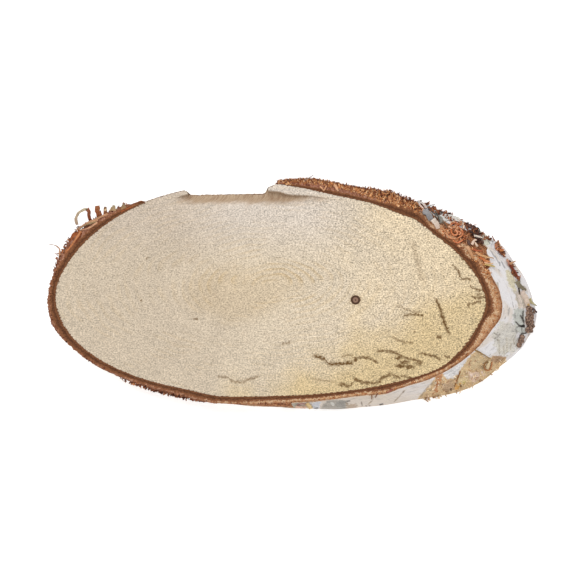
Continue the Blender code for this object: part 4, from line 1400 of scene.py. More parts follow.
@dataclass
class PaperBark:
    """The white paper bark: one thin sheet that hugs the cork, torn at its top, its marks painted on."""

    trunk: Trunk
    sight: Sight
    columns: int = 1000
    rows: int = 44
    fine_share: float = 0.74
    wall: float = 0.6 * MM
    wave: float = 0.3 * MM
    inset: float = 0.03 * MM
    plain: Rgb = (220, 216, 214)
    start: float = math.radians(52.0)
    seen_to: float = math.radians(-100.0)
    stop: float = math.radians(-234.0)
    torn_edge: Table = (
        (52, 8), (49, 3.5), (44, 2), (40, 2.5), (36, 4.6), (30, 5.5), (26, 4), (20, 2.2), (15, 1),
        (12, 0.2), (-84, 0.2), (-88, 6), (-92, 7), (-125, 6.5), (-150, 1.6), (-195, 1.6), (-206, 4.4),
        (-234, 4.4),
    )

    def top(self, angle: float) -> float:
        """Depth of the paper's torn upper edge, with its small tears."""
        along = Vector((angle * self.trunk.radius, 0.0, 0.0))
        tears = 0.5 * rough(along, 4.0 * MM) + 0.45 * rough(along, 1.4 * MM) + 0.25 * rough(along, 0.6 * MM)
        rough_share = 0.25 + 0.75 * ease(math.cos(angle - math.radians(-25.0)), 0.75, 0.55)
        return read_table(self.torn_edge, math.degrees(angle)) * MM + 0.6 * MM * (tears + 0.25) * rough_share

    def angle(self, share: float) -> float:
        """The angle at this share of the sheet; the stretch in the photograph gets most of the columns."""
        if share < self.fine_share:
            return self.start + (self.seen_to - self.start) * share / self.fine_share
        turned = (self.stop - self.seen_to) * (share - self.fine_share) / (1.0 - self.fine_share)
        return self.seen_to + turned

    def paint(self, point: Vector, angle: float) -> Rgba:
        """Mix the marks that lie on a point of the sheet.

        Args:
            point: The point, in the part's frame.
            angle: Its angle round the trunk.

        Returns:
            The linear colour and, as the fourth number, how much of it covers the white.
        """
        color, cover = Vector(linear(self.plain)[:3]), 0.0
        if angle < self.seen_to:
            return (*color, cover)
        spot = self.sight.show(point)
        fray = 2.4 * rough(point, 1.8 * MM, 4.0) + 1.6 * rough(point, 0.6 * MM, 5.0)
        for mark in PAPER_MARKS:
            share = mark.cover(spot, fray)
            if share > 0.0:
                color = color.lerp(Vector(linear(mark.tone)[:3]), share if cover > 0.05 else 1.0)
                cover = cover + share * (1.0 - cover)
        return (*color, cover)

    def build(self) -> Object:
        """Model the paper.

        Returns:
            The paper's object, with its finish.
        """
        LOG.info("paper bark: bending the sheet, tearing its edge and painting its marks")
        trunk = self.trunk
        bpy.ops.mesh.primitive_grid_add(x_subdivisions=self.columns, y_subdivisions=self.rows, size=2.0)
        paper = Bench.added("paper_bark")
        around, down, paint = [], [], []
        bottom = trunk.thickness - self.inset
        for vertex in paper.data.vertices:
            angle = self.angle((1.0 - vertex.co.x) / 2.0)
            top = min(max(self.top(angle), self.inset), bottom - 1.0 * MM)
            depth = top + (bottom - top) * (1.0 - vertex.co.y) / 2.0
            flat = Vector((angle * trunk.radius, depth * 2.0, 0.0))
            drawn = Vector((flat.x * 0.3, flat.y, 0.0))
            ripple = rough(flat * 0.6, 5.0 * MM) + 0.4 * rough(drawn, 1.6 * MM, 3.0)
            lip = 0.5 * ease(depth - top, 1.2 * MM, 0.0) * max(rough(flat, 5.0 * MM, 2.0), 0.0)
            lip *= ease(top, 0.3 * MM, 1.5 * MM)
            swell = self.wave * ripple * ease(depth, 0.0, 2.0 * MM) + lip * MM
            vertex.co = trunk.point(angle, trunk.bark_radius(angle, depth) + swell, depth)
            around.append(flat.x)
            down.append(flat.y)
            paint.extend(self.paint(vertex.co, angle))
        Bench.paint(paper, "round", around)
        Bench.paint(paper, "down", down)
        Bench.tint(paper, "paint", paint)
        finish = WhitePaper()
        paper.data.materials.append(finish.material())
        paper.data.materials.append(finish.edge())
        layers = {"material_offset": 1, "material_offset_rim": 1}
        Bench.finish(paper, "SOLIDIFY", thickness=self.wall, offset=-1.0, **layers)
        Bench.shape(paper, lambda p: Vector((p.x, p.y, min(max(p.z, self.inset), bottom))))
        Bench.smooth(paper, 60.0)
        return paper


@dataclass(frozen=True)
class TornBark:
    """Torn bark in each piece's own painted tone, mottled and fibrous."""

    mottle: float = 0.13
    relief: float = 0.25 * MM

    def material(self) -> Material:
        """Make the torn bark's material."""
        g = Graph("torn_bark")
        place = g.place()
        fine = g.stretched(place, 0.45 * MM)
        coarse = g.stretched(place, 1.5 * MM)
        color = g.shade(g.painted("tone", "Color"), 1.0 + (fine + coarse) * self.mottle)
        return g.finish(color, 0.8, fine * 0.3 + coarse * 0.2 + 0.5, self.relief)


@dataclass(frozen=True)
class Strip:
    """A curled strip of bark, along spots of the picture.

    Each spot has a third number: the height in mm for a strip that stands free, or the distance in mm off
    the bark's wall. The width is in mm; the tip is that share of it wide. The strip faces outward from the
    trunk at 0 and straight up at 1. Its tones run from the root to the tip, or are just one.
    """

    path: Sequence[Place]
    width: float
    tip_share: float
    facing_up: float
    tones: Sequence[Rgb]
    wall: float = 0.28
    cupped: float = 0.12
    low: float = 0.1
    high: float = 10.95
    lowest_knot: float = 0.3
    highest_knot: float = 10.5

    def place(self, sight: Sight, spot: Place, on_bark: bool) -> Vector:
        """The point that one spot of the path stands for."""
        if not on_bark:
            return sight.level(spot[:2], spot[2] * MM)
        point = sight.on_bark(spot[:2], spot[2] * MM)
        return sight.level(spot[:2], min(max(point.z, self.lowest_knot * MM), self.highest_knot * MM))

    @staticmethod
    def bow(knots: Sequence[Vector], share: float) -> Vector:
        """The point at this share of a smooth line through the knots."""
        at = share * (len(knots) - 1)
        index = min(int(at), len(knots) - 2)
        t = at - index
        a, b = knots[max(index - 1, 0)], knots[index]
        c, d = knots[index + 1], knots[min(index + 2, len(knots) - 1)]
        square = (2.0 * a - 5.0 * b + 4.0 * c - d) * t ** 2
        cube = (3.0 * b - a - 3.0 * c + d) * t ** 3
        return 0.5 * (2.0 * b + (c - a) * t + square + cube)

    def build(self, sight: Sight, name: str, on_bark: bool) -> Object:
        """Model the strip.

        Args:
            sight: The photograph's line of sight.
            name: The object's name.
            on_bark: True when the path's third numbers are distances off the bark's wall.

        Returns:
            The strip, with its tone stored on it.
        """
        knots = [self.place(sight, spot, on_bark) for spot in self.path]
        steps = 4 * len(knots) - 2
        angle, _ = sight.trunk.polar(knots[0])
        outward = sight.trunk.directions(angle)[0]
        face = outward.lerp(Vector((0.0, 0.0, 1.0)), self.facing_up).normalized()
        bpy.ops.mesh.primitive_grid_add(x_subdivisions=steps, y_subdivisions=4, size=2.0)
        strip = Bench.added(name)
        seed = sum(self.path[0]) + sum(self.path[-1])

        def bend(flat: Vector) -> Vector:
            """Carry a point of the flat strip to its place along the path."""
            along = (flat.x + 1.0) / 2.0
            ahead = self.bow(knots, min(along + 0.02, 1.0)) - self.bow(knots, max(along - 0.02, 0.0))
            side = ahead.cross(face).normalized()
            ragged = 1.0 + 0.45 * rough(Vector((along * 9.0 * MM, flat.y * MM, 0.0)), 1.1 * MM, seed)
            half = 0.5 * self.width * MM * (1.0 + (self.tip_share - 1.0) * along) * ragged
            point = self.bow(knots, along) + side * flat.y * half
            point += face * self.cupped * half * (flat.y ** 2 - 0.5)
            point.z = min(max(point.z, self.low * MM), self.high * MM)
            return point

        shares = [(vertex.co.x + 1.0) / 2.0 for vertex in strip.data.vertices]
        Bench.shape(strip, bend)
        root, tip = Vector(linear(self.tones[0])), Vector(linear(self.tones[-1]))
        Bench.tint(strip, "tone", [part for share in shares for part in root.lerp(tip, share)])
        Bench.finish(strip, "SOLIDIFY", thickness=self.wall * MM, offset=-1.0)
        return strip


def strips(*rows: tuple) -> tuple[Strip, ...]:
    """Strips from rows of width, tip share, facing up and tones, each followed by its path's spots."""
    return tuple(Strip(row[4:], *row[:4]) for row in rows)


LOOP_STRIPS = strips(
    (1.5, 0.9, 0.8, ((168, 140, 118), (205, 190, 160)), (76.5, 224.5, 9), (75.2, 219, 9.5),
     (77.2, 213.5, 10.3), (82, 210, 11), (86.2, 208.4, 11.2)),
    (2.2, 0.8, 0.8, ((150, 90, 62), (120, 58, 32)), (86, 208.3, 11.2), (88.3, 211.5, 10.8), (88, 215.5, 10),
     (89.5, 220, 9)),
)
UPRIGHT_STRIPS = strips(
    (2.8, 0.85, 1, ((150, 82, 45), (150, 95, 62)), (98.5, 217, 9), (97, 211, 10), (96.3, 205.3, 10.5)),
    (0.8, 0.5, 1, ((70, 35, 18),), (100, 215.5, 9), (99.6, 210, 9.6)),
    (2.6, 0.5, 1, ((165, 92, 50), (128, 104, 82)), (105, 216, 9), (104.5, 211, 10), (104.6, 206.3, 10.4)),
    (1, 0.8, 1, ((226, 196, 150),), (103.8, 210.2, 10.9), (105.4, 208.8, 11)),
    (4.6, 0.25, 1, ((188, 142, 100), (165, 150, 120)), (112, 214.5, 9.3), (112.4, 209, 10),
     (113.2, 204.8, 10.3)),
    (2, 0.3, 1, ((176, 140, 104), (176, 150, 120)), (116, 213.5, 9.3), (116.8, 207.8, 10)),
    (4.4, 0.2, 1, ((176, 128, 80), (140, 124, 100)), (123.5, 211, 9.3), (122.8, 207, 10),
     (122.9, 203.3, 10.2)),
    (1.1, 0.5, 1, ((168, 98, 54), (120, 92, 66)), (129, 207.5, 9.7), (134, 205, 10), (141.5, 203.3, 10)),
    (1, 0.5, 1, ((150, 80, 44), (160, 90, 50)), (118, 212.5, 9.6), (124, 209.5, 10), (131, 206.4, 10)),
)
FEATHER_STRIPS = strips(
    (1.25, 0.6, 1, ((198, 146, 108), (178, 134, 104)), (107, 213.6, 10.1), (100, 216.5, 10.3),
     (95, 219.3, 10.3), (88, 221.8, 10.4), (81, 226, 10.2), (75.4, 230.3, 9.8)),
    (1.15, 0.5, 1, ((206, 156, 122), (188, 138, 106)), (96.5, 222, 10.2), (91, 226.2, 10.3),
     (85, 229, 10.3), (78.5, 229.8, 10)),
    (0.9, 0.5, 1, ((168, 142, 104), (154, 130, 96)), (95.5, 221, 10.1), (90, 222.9, 10.3),
     (84.5, 225, 10.2), (78, 229, 9.9)),
    (0.9, 0.5, 1, ((206, 158, 122), (198, 150, 114)), (97, 219.9, 10.2), (91.5, 221.1, 10.4),
     (86.5, 222.3, 10.3)),
    (0.5, 0.5, 1, ((60, 32, 18),), (92, 219.7, 10), (96, 217.2, 10)),
    (0.45, 0.5, 1, ((90, 56, 36),), (83, 227.3, 10), (89, 225.2, 10), (93, 224, 10)),
    (0.5, 0.5, 1, ((80, 48, 30),), (76, 228.6, 9.7), (80, 225.6, 9.8)),
    (0.7, 0.3, 1, ((120, 80, 60), (110, 84, 70)), (78, 226, 9.8), (75.2, 227.5, 9.7)),
    (0.8, 0.2, 1, ((110, 84, 70), (104, 90, 84)), (76, 230.5, 9.8), (73.5, 228.7, 9.7)),
)
BUNDLE_STRIPS = strips(
    (1.2, 0.6, 1, ((206, 138, 92), (190, 118, 72)), (80.3, 231.2, 10), (75.5, 238.5, 10.1), (71, 245, 10),
     (66, 251.5, 9.8)),
    (1.6, 0.5, 1, ((160, 86, 44), (176, 100, 56)), (79, 230.8, 9.7), (73.5, 236.5, 9.7), (69, 244, 9.6),
     (67.5, 249, 9.5)),
    (1.6, 0.4, 1, ((150, 84, 46), (160, 90, 50)), (76.5, 231.5, 9.5), (72, 235, 9.4), (69, 241, 9.3),
     (67.6, 246.5, 9.2)),
    (1, 0.5, 1, ((120, 62, 32), (130, 66, 34)), (81, 232.5, 10.1), (79, 236.5, 10.1), (74.5, 243.5, 10.1)),
    (2.4, 0.7, 1, ((112, 58, 30), (120, 64, 34)), (83, 230, 9.4), (74, 240, 9.4), (66, 253, 9.4)),
    (1, 0.2, 1, ((120, 70, 44), (90, 60, 48)), (70.5, 239.5, 9.5), (68.5, 238.2, 9.6), (67, 236.8, 9.7)),
)
WHISKER_STRIPS = strips(
    (0.8, 0.35, 1, ((190, 128, 86), (150, 130, 112)), (59.3, 251, 9.6), (58.6, 248.5, 9.8),
     (56.3, 246.2, 10.2), (53, 244.8, 10.4), (48.4, 244.1, 10.6)),
    (1.3, 0.5, 1, ((196, 132, 84), (184, 136, 96)), (60, 264, 9.4), (59.4, 257, 9.6), (59.2, 249.5, 9.8)),
    (1.2, 0.5, 1, ((176, 106, 60),), (62.3, 261, 9.5), (61.8, 255, 9.7), (61.5, 249, 9.8)),
    (0.9, 0.3, 1, ((150, 88, 50), (110, 78, 56)), (64.3, 257, 9.6), (64.2, 252, 9.8), (63.5, 246.6, 9.9)),
    (0.9, 0.4, 1, ((188, 116, 68),), (65.8, 254, 9.7), (65.2, 249.8, 9.8)),
    (0.8, 0.4, 1, ((150, 90, 62), (96, 84, 80)), (57.5, 267.5, 9.6), (55.6, 265, 9.7), (55, 262.3, 9.8)),
    (0.7, 0.4, 1, ((140, 92, 66), (120, 90, 76)), (56.5, 269, 9.6), (54.3, 267.5, 9.6), (53.2, 266, 9.6)),
)
TONGUE_STRIPS = strips(
    (0.6, 0.6, 1, ((150, 110, 84), (150, 150, 150)), (303, 180.5, 9.5), (308.5, 177.5, 9.8),
     (313.5, 174.3, 10)),
    (1, 0.6, 1, ((222, 168, 128),), (320, 186, 10.3), (322, 187.5, 10.4), (324, 190.2, 10.4)),
    (0.9, 0.6, 1, ((214, 158, 118),), (326.5, 185.2, 10.2), (324.3, 190, 10.4)),
    (1.7, 0.6, 1, ((220, 170, 132),), (335, 184.5, 10.2), (336.5, 187, 10.4), (338.5, 190.5, 10.4)),
)
GREY_TATTERS = strips(
    (1.4, 0.7, 0.5, ((214, 190, 178), (196, 196, 192)), (427.5, 209.5, 0.6), (425.5, 205, 1.4),
     (422.5, 202.2, 1.8), (418.3, 201.4, 1.6)),
    (1.2, 0.6, 0.5, ((226, 196, 180), (214, 190, 178)), (424.5, 209.5, 0.4), (421.5, 205.5, 0.9),
     (419.5, 203.5, 1)),
    (0.55, 0.5, 0.5, ((150, 150, 146),), (426.5, 206.8, 0.8), (431.5, 204.9, 1.6), (436, 203.7, 2)),
    (4.2, 0.8, 0.4, ((158, 156, 158), (136, 132, 132)), (424.5, 209.5, 0.5), (428.5, 214, 0.6),
     (431.5, 220, 0.6)),
    (0.7, 0.6, 0.4, ((96, 90, 86),), (425, 208.6, 0.8), (429, 208.3, 0.9), (432.5, 210, 0.8)),
    (3.6, 0.6, 0.4, ((222, 208, 194), (214, 190, 172)), (433, 219, 0.6), (436.5, 223, 0.7),
     (438.5, 228.5, 0.8)),
    (3, 0.7, 0.4, ((150, 146, 138), (140, 134, 124)), (437, 211, 0.2), (440, 216, 0.2), (441.5, 223, 0.3)),
    (4.4, 0.6, 0.4, ((212, 210, 204), (220, 214, 204)), (443, 218, 0.3), (449, 216.5, 0.5),
     (456, 218.5, 0.5), (461.5, 219.5, 0.4)),
    (0.6, 0.5, 0.4, ((60, 56, 50),), (432, 211.2, 0.9), (435, 213.5, 0.9), (437.5, 219, 0.9)),
    (0.7, 0.5, 0.4, ((74, 70, 62),), (436.3, 211, 0.9), (438.3, 215, 0.8), (440.5, 222, 0.7)),
    (0.7, 0.5, 0.4, ((70, 66, 60),), (439, 210.3, 0.7), (441.5, 211, 0.7), (443, 213, 0.7)),
    # a brown strip laid along the tatters as painted shade
    (0.8, 0.5, 0.4, ((100, 80, 64),), (442, 222, 0.5), (446, 224.5, 0.6), (447, 228, 0.6)),
)
DARK_TATTERS = strips(
    (2.2, 0.8, 0.3, ((104, 88, 88), (74, 56, 54)), (465, 223, 0.3), (471, 226, 0.5), (478, 230, 0.4)),
    (1.2, 0.5, 0.3, ((66, 50, 46), (96, 78, 70)), (470, 230, 0.6), (475, 233.5, 0.6), (480, 236.5, 0.6),
     (484.5, 243.5, 0.4)),
    (2, 0.7, 0.3, ((98, 72, 62),), (468.5, 240, 0.8), (470, 245, 0.8)),
    (1.3, 0.5, 0.3, ((230, 214, 198),), (475, 235.6, 0.9), (479.5, 236.6, 0.9), (483, 237.4, 0.7)),
    (1.4, 0.6, 0.3, ((224, 196, 176),), (472.5, 244.5, 0.9), (474.5, 240.5, 1), (477, 239.5, 0.9)),
    (1.4, 0.6, 0.3, ((222, 192, 168),), (478, 246.5, 0.8), (475.5, 242.5, 0.9)),
)
FRINGE_TATTERS = strips(
    (2.2, 0.5, 0.4, ((214, 170, 132), (196, 140, 96)), (467, 246, 0.8), (470, 251, 0.9),
     (473.5, 258.5, 0.8)),
    (1.2, 0.5, 0.4, ((170, 90, 58), (180, 100, 66)), (473, 249, 0.8), (477.5, 250.5, 1), (482.5, 251, 0.8)),
    (1.5, 0.5, 0.4, ((220, 160, 116), (204, 160, 108)), (476, 252, 0.8), (481.5, 255.5, 1.1),
     (487.5, 257, 1.2)),
    (1.7, 0.5, 0.4, ((190, 104, 56), (216, 150, 100)), (480, 257, 0.8), (486, 261, 1.2),
     (490.5, 261.8, 1.3)),
    (0.9, 0.4, 0.4, ((214, 170, 128), (190, 150, 110)), (485, 257.8, 0.8), (490.5, 257.3, 1.2),
     (494.3, 258.3, 1.2)),
    (1.5, 0.4, 0.4, ((206, 170, 110), (190, 168, 104)), (485, 263.6, 0.6), (490, 265.3, 1),
     (495.2, 266.5, 1.1)),
    (1, 0.4, 0.4, ((224, 176, 140), (220, 180, 140)), (484.5, 262, 0.7), (489, 263.5, 1),
     (493.5, 263.2, 1.1)),
)
RUST_CURLS = strips(
    (0.9, 0.8, 0.4, ((206, 116, 66), (226, 158, 118)), (451.5, 229, 1), (452, 232.5, 1.2), (454, 235, 1.3),
     (457, 234.6, 1.3), (457.5, 231.5, 1.2), (455.5, 229.6, 1.1)),
    (1, 0.7, 0.4, ((196, 108, 62), (214, 140, 98)), (458.5, 226.5, 1), (461.5, 229, 1.2),
     (463.5, 232.5, 1.2), (461.5, 236, 1.1), (458.5, 238, 1)),
    (0.9, 0.6, 0.4, ((220, 160, 120), (214, 146, 104)), (446, 232.5, 0.9), (449, 236.5, 1.1),
     (452.5, 238.5, 1.2), (456, 238.5, 1.1)),
    (1.1, 0.6, 0.4, ((196, 116, 78),), (452, 223.8, 0.9), (456, 222.5, 1.1), (459.5, 224.5, 1)),
    (1.2, 0.5, 0.4, ((228, 206, 182), (228, 200, 176)), (462.5, 221.5, 0.8), (464.8, 225, 1),
     (464, 228.5, 0.9)),
    (0.9, 0.5, 0.4, ((206, 144, 100),), (442, 227.5, 0.7), (445, 230.5, 0.9), (447.5, 234, 0.8)),
    (0.8, 0.6, 0.4, ((232, 168, 130), (222, 150, 110)), (459, 231, 1.3), (461.3, 233, 1.5),
     (459.5, 235, 1.4)),
    (1, 0.6, 0.4, ((232, 186, 152), (224, 170, 130)), (449, 226, 0.9), (452.5, 228.5, 1.1)),
    (1, 0.5, 0.4, ((214, 132, 92), (200, 116, 76)), (463, 240, 0.9), (458.5, 242.5, 1.1), (454, 241.5, 1)),
)
EDGE_TATTERS = strips(
    (1.2, 0.5, 0.2, ((150, 100, 74), (186, 120, 90)), (499.8, 241.8, 0.6), (497.8, 244.5, 0.8),
     (496.4, 248, 0.6)),
    (0.8, 0.5, 0.2, ((176, 130, 86), (150, 130, 104)), (500, 243, 0.7), (501.2, 246, 0.8),
     (502.6, 247.3, 0.9)),
    (1.3, 0.5, 0.2, ((110, 64, 42), (120, 70, 48)), (500.3, 251.5, 0.5), (503, 254, 0.7),
     (505.6, 257, 0.5)),
    (1, 0.5, 0.2, ((190, 120, 70), (196, 130, 80)), (501, 250.6, 0.9), (504.6, 250.6, 1.2)),
    (1.3, 0.6, 0.2, ((196, 148, 124), (150, 96, 80)), (508, 259.3, 0.6), (509.5, 262.5, 0.8),
     (509.3, 265.5, 0.6)),
    (1.2, 0.6, 0.2, ((104, 44, 26), (150, 72, 52)), (510.5, 265.3, 0.6), (514, 268.8, 0.8),
     (517, 273.5, 0.8), (520.3, 280, 0.5)),
    (1.3, 0.5, 0.3, ((204, 148, 106), (170, 140, 110)), (511, 264, 0.8), (513.5, 262.5, 1.3),
     (516.8, 260.8, 1.7)),
)
END_TATTERS = strips(
    (3.4, 0.35, 0.2, ((134, 124, 102), (120, 108, 88)), (517.3, 281.3, 0.3), (521, 286.5, 0.5),
     (526.8, 290.2, 0.7)),
    (1, 0.5, 0.2, ((72, 60, 48),), (519.3, 287.8, 0.7), (520.3, 294.5, 0.7)),
    (3.4, 0.8, 0.2, ((214, 194, 180), (206, 186, 166)), (522, 291.5, 0.2), (526, 298, 0.4),
     (528.5, 306, 0.5)),
    (2.2, 0.12, 0.2, ((186, 170, 120), (160, 156, 130)), (530.1, 299, 0.5), (533, 303, 0.9),
     (538.3, 306.3, 1.4)),
    (1.6, 0.5, 0.2, ((100, 84, 80), (90, 76, 72)), (532.5, 308, 1), (535.3, 310.5, 1.6), (537.8, 312.7, 2)),
    (1.3, 0.6, 0.2, ((196, 160, 110),), (528.5, 304, 0.6), (531, 308, 0.8)),
)
LOW_TATTERS = strips(
    (0.7, 0.6, 0.1, ((150, 118, 72), (160, 128, 84)), (474.5, 350, 0.15), (480, 352.5, 0.3),
     (485, 355.5, 0.3), (490.3, 358.8, 0.2)),
    (1, 0.7, 0.2, ((128, 100, 62), (190, 124, 80)), (488.8, 361.3, 0.4), (485.3, 362.8, 0.9),
     (483.7, 366, 1.1), (485.3, 369.5, 1), (488.5, 370, 0.8), (491, 366.5, 0.7), (491.8, 361.5, 0.6)),
    (1.8, 0.8, 0.2, ((224, 202, 164), (214, 190, 150)), (486.5, 369, 0.5), (488, 365, 0.7),
     (489.5, 360.5, 0.5)),
    (0.6, 0.5, 0.1, ((140, 92, 48), (150, 100, 52)), (459.8, 371, 0.1), (458, 376, 0.3),
     (455.8, 381.5, 0.3), (454.3, 386.5, 0.1)),
    (0.8, 0.5, 0.1, ((150, 110, 84), (140, 104, 80)), (371, 394, 0), (371.5, 396.3, 0.3),
     (371.2, 398.6, 0.4)),
    (0.8, 0.5, 0.1, ((120, 80, 60),), (377, 393, 0), (375.8, 394.8, 0.3), (375, 396.8, 0.4)),
    (0.9, 0.5, 0.1, ((160, 96, 84), (150, 92, 80)), (391.8, 388.3, 0), (389, 390.6, 0.3),
     (385.5, 392.5, 0.3)),
    (2.8, 0.8, 0.1, ((212, 176, 154), (204, 166, 144)), (295.5, 406, 0.3), (301, 406.3, 0.7),
     (306, 406.8, 0.5)),
    (2.6, 0.8, 0.1, ((216, 188, 136), (214, 184, 138)), (306.5, 402.8, 0.2), (309, 405, 0.5),
     (311, 408, 0.4)),
    (0.4, 0.6, 0.1, ((150, 90, 90),), (297, 404.5, 1), (301, 402.8, 1), (306, 403.3, 0.8)),
)
FREE_STRIPS = (
    *LOOP_STRIPS, *UPRIGHT_STRIPS, *FEATHER_STRIPS, *BUNDLE_STRIPS, *WHISKER_STRIPS, *TONGUE_STRIPS,
)
BARK_STRIPS = (
    *GREY_TATTERS, *DARK_TATTERS, *FRINGE_TATTERS, *RUST_CURLS, *EDGE_TATTERS, *END_TATTERS, *LOW_TATTERS,
)


@dataclass
class StripGroup:
    """A group of strips, joined into one piece."""

    sight: Sight
    name: str
    strips: Sequence[Strip]
    on_bark: bool

    def build(self, material: Material) -> Object:
        """Model each strip and join them.

        Args:
            material: The finish of torn bark.

        Returns:
            The joined piece, with its finish.
        """
        LOG.info("%s: bending %d strips", self.name, len(self.strips))
        made = []
        for i, strip in enumerate(self.strips):
            made.append(strip.build(self.sight, f"{self.name}_{i}", self.on_bark))
        piece = Bench.join(self.name, made)
        Bench.smooth(piece, 50.0)
        piece.data.materials.append(material)
        return piece


@dataclass(frozen=True)
class Thicket:
    """A place where torn chips of cork grow thickly, with lengths, widths and distances in mm.

    It is an outline in spots of the picture or a span of angles in degrees and of depths in mm. With
    neither, it is the shag.
    """

    name: str
    count: int
    tones: Sequence[Rgb]
    lengths: Spot
    widths: Spot
    off: Spot = (-0.4, 0.5)
    outline: Sequence[Spot] = ()
    span: Spot = (0.0, 0.0)
    depths: Spot = (0.0, 0.0)
    stray: float = 0.9
    on_skin: bool = True
    kinds: Sequence[int] = (0, 1, 2)
    high: float = 10.3


ORANGE_CORK = (
    (184, 120, 72), (220, 166, 114), (204, 138, 86), (124, 70, 42), (164, 102, 62), (236, 192, 146),
)
RED_CORK = ((150, 92, 60), (112, 62, 40), (180, 120, 82), (84, 44, 28), (134, 78, 50))
RUST_CORK = ((196, 116, 70), (216, 150, 104), (150, 82, 50), (110, 58, 36), (226, 176, 136))
DARK_CORK = ((98, 66, 56), (74, 46, 38), (130, 88, 70), (60, 36, 30))
BROWN_RIM = ((120, 66, 42), (92, 48, 30), (150, 92, 62), (70, 34, 20), (170, 116, 84))
PEELED_CORK = (
    (212, 184, 146), (226, 202, 160), (192, 160, 128), (232, 212, 184), (176, 140, 108), (222, 192, 150),
)
# the rims' crumbs stray little, sit on the sawn face and are all of the third kind of chip
CRUMBS = (0.6, False, (2,))
THICKETS = (
    Thicket("top_shag", 420, ORANGE_CORK, (0.9, 1.8), (0.5, 1), (-1.6, 0.3), (), (53, 86), (0, 0.2),
            0.9, False, (0, 1, 2), 10.9),
    Thicket("peeled_tears", 190, PEELED_CORK, (1, 2.4), (0.5, 1.3), (-0.35, 0.25), (
        (436, 376), (440, 374), (446, 381), (460, 373), (475, 353), (488, 360), (505, 358), (504, 365),
        (470, 389), (440, 399), (420, 402), (424, 393))),
    Thicket("clump", 60, ORANGE_CORK, (1, 1.9), (0.5, 1.1), (-0.2, 0.7), (
        (410, 204), (415, 201.5), (420, 204), (424, 212), (420, 214), (410, 208))),
    Thicket("rust_curls", 190, RUST_CORK, (1.2, 2.8), (0.5, 1.2), (-0.2, 0.9), (
        (441, 225), (447, 229), (452, 222), (460, 221), (469, 238), (466, 246), (459, 247), (449, 240),
        (441, 231))),
    Thicket("orange_fringe", 170, ORANGE_CORK, (1.2, 2.6), (0.5, 1.1), (-0.2, 0.9), (
        (464, 246), (470, 246), (484, 254), (488, 262), (492, 284), (489, 285), (481, 268), (472, 258))),
    Thicket("edge_tufts", 90, RUST_CORK, (1, 2.2), (0.5, 1), (-0.2, 0.5), (
        (496, 243), (499, 241), (506, 252), (506, 258), (497, 249))),
    Thicket("edge_tufts_low", 80, RED_CORK, (1, 2.2), (0.5, 1), (-0.2, 0.5), (
        (508, 259), (512, 262), (521, 279), (519, 281), (513, 273))),
    Thicket("dark_tears", 90, DARK_CORK, (1.2, 2.6), (0.6, 1.4), (-0.4, 0.5), (
        (464, 222), (472, 224), (481, 230), (480, 236), (485, 243), (480, 243), (470, 234))),
    Thicket("left_rim", 520, BROWN_RIM, (0.5, 1), (0.6, 1.3), (-0.6, -0.1), (), (-232, -112), (0, 1.4),
            *CRUMBS),
    Thicket("low_rim", 170, BROWN_RIM, (0.4, 0.9), (0.6, 1.1), (-0.6, -0.1), (), (-116, -84), (0, 1.4),
            *CRUMBS),
    Thicket("right_rim", 200, ORANGE_CORK, (0.3, 0.8), (0.4, 0.7), (-0.8, -0.3), (), (-84, 30), (0, 0.1),
            *CRUMBS),
    Thicket("under_bark", 150, RED_CORK, (0.8, 1.7), (0.8, 1.6), (-0.6, 0), (), (-132, -108), (1.6, 5.5),
            0.8),
    Thicket("upper_left_bark", 420, RED_CORK, (1, 2.2), (0.7, 1.4), (-0.3, 0.9), (), (-232, -198), (0.3, 5),
            0.8),
    Thicket("low_shag", 420, RED_CORK, (1.4, 3), (0.7, 1.5), (-0.4, 0.5), (), (30, 88), (4, 9.6)),
    Thicket("under_shag", 260, RED_CORK, (0.9, 1.8), (0.6, 1.3), (-0.4, 0.6), (), (66, 88), (0.8, 4.5)),
)


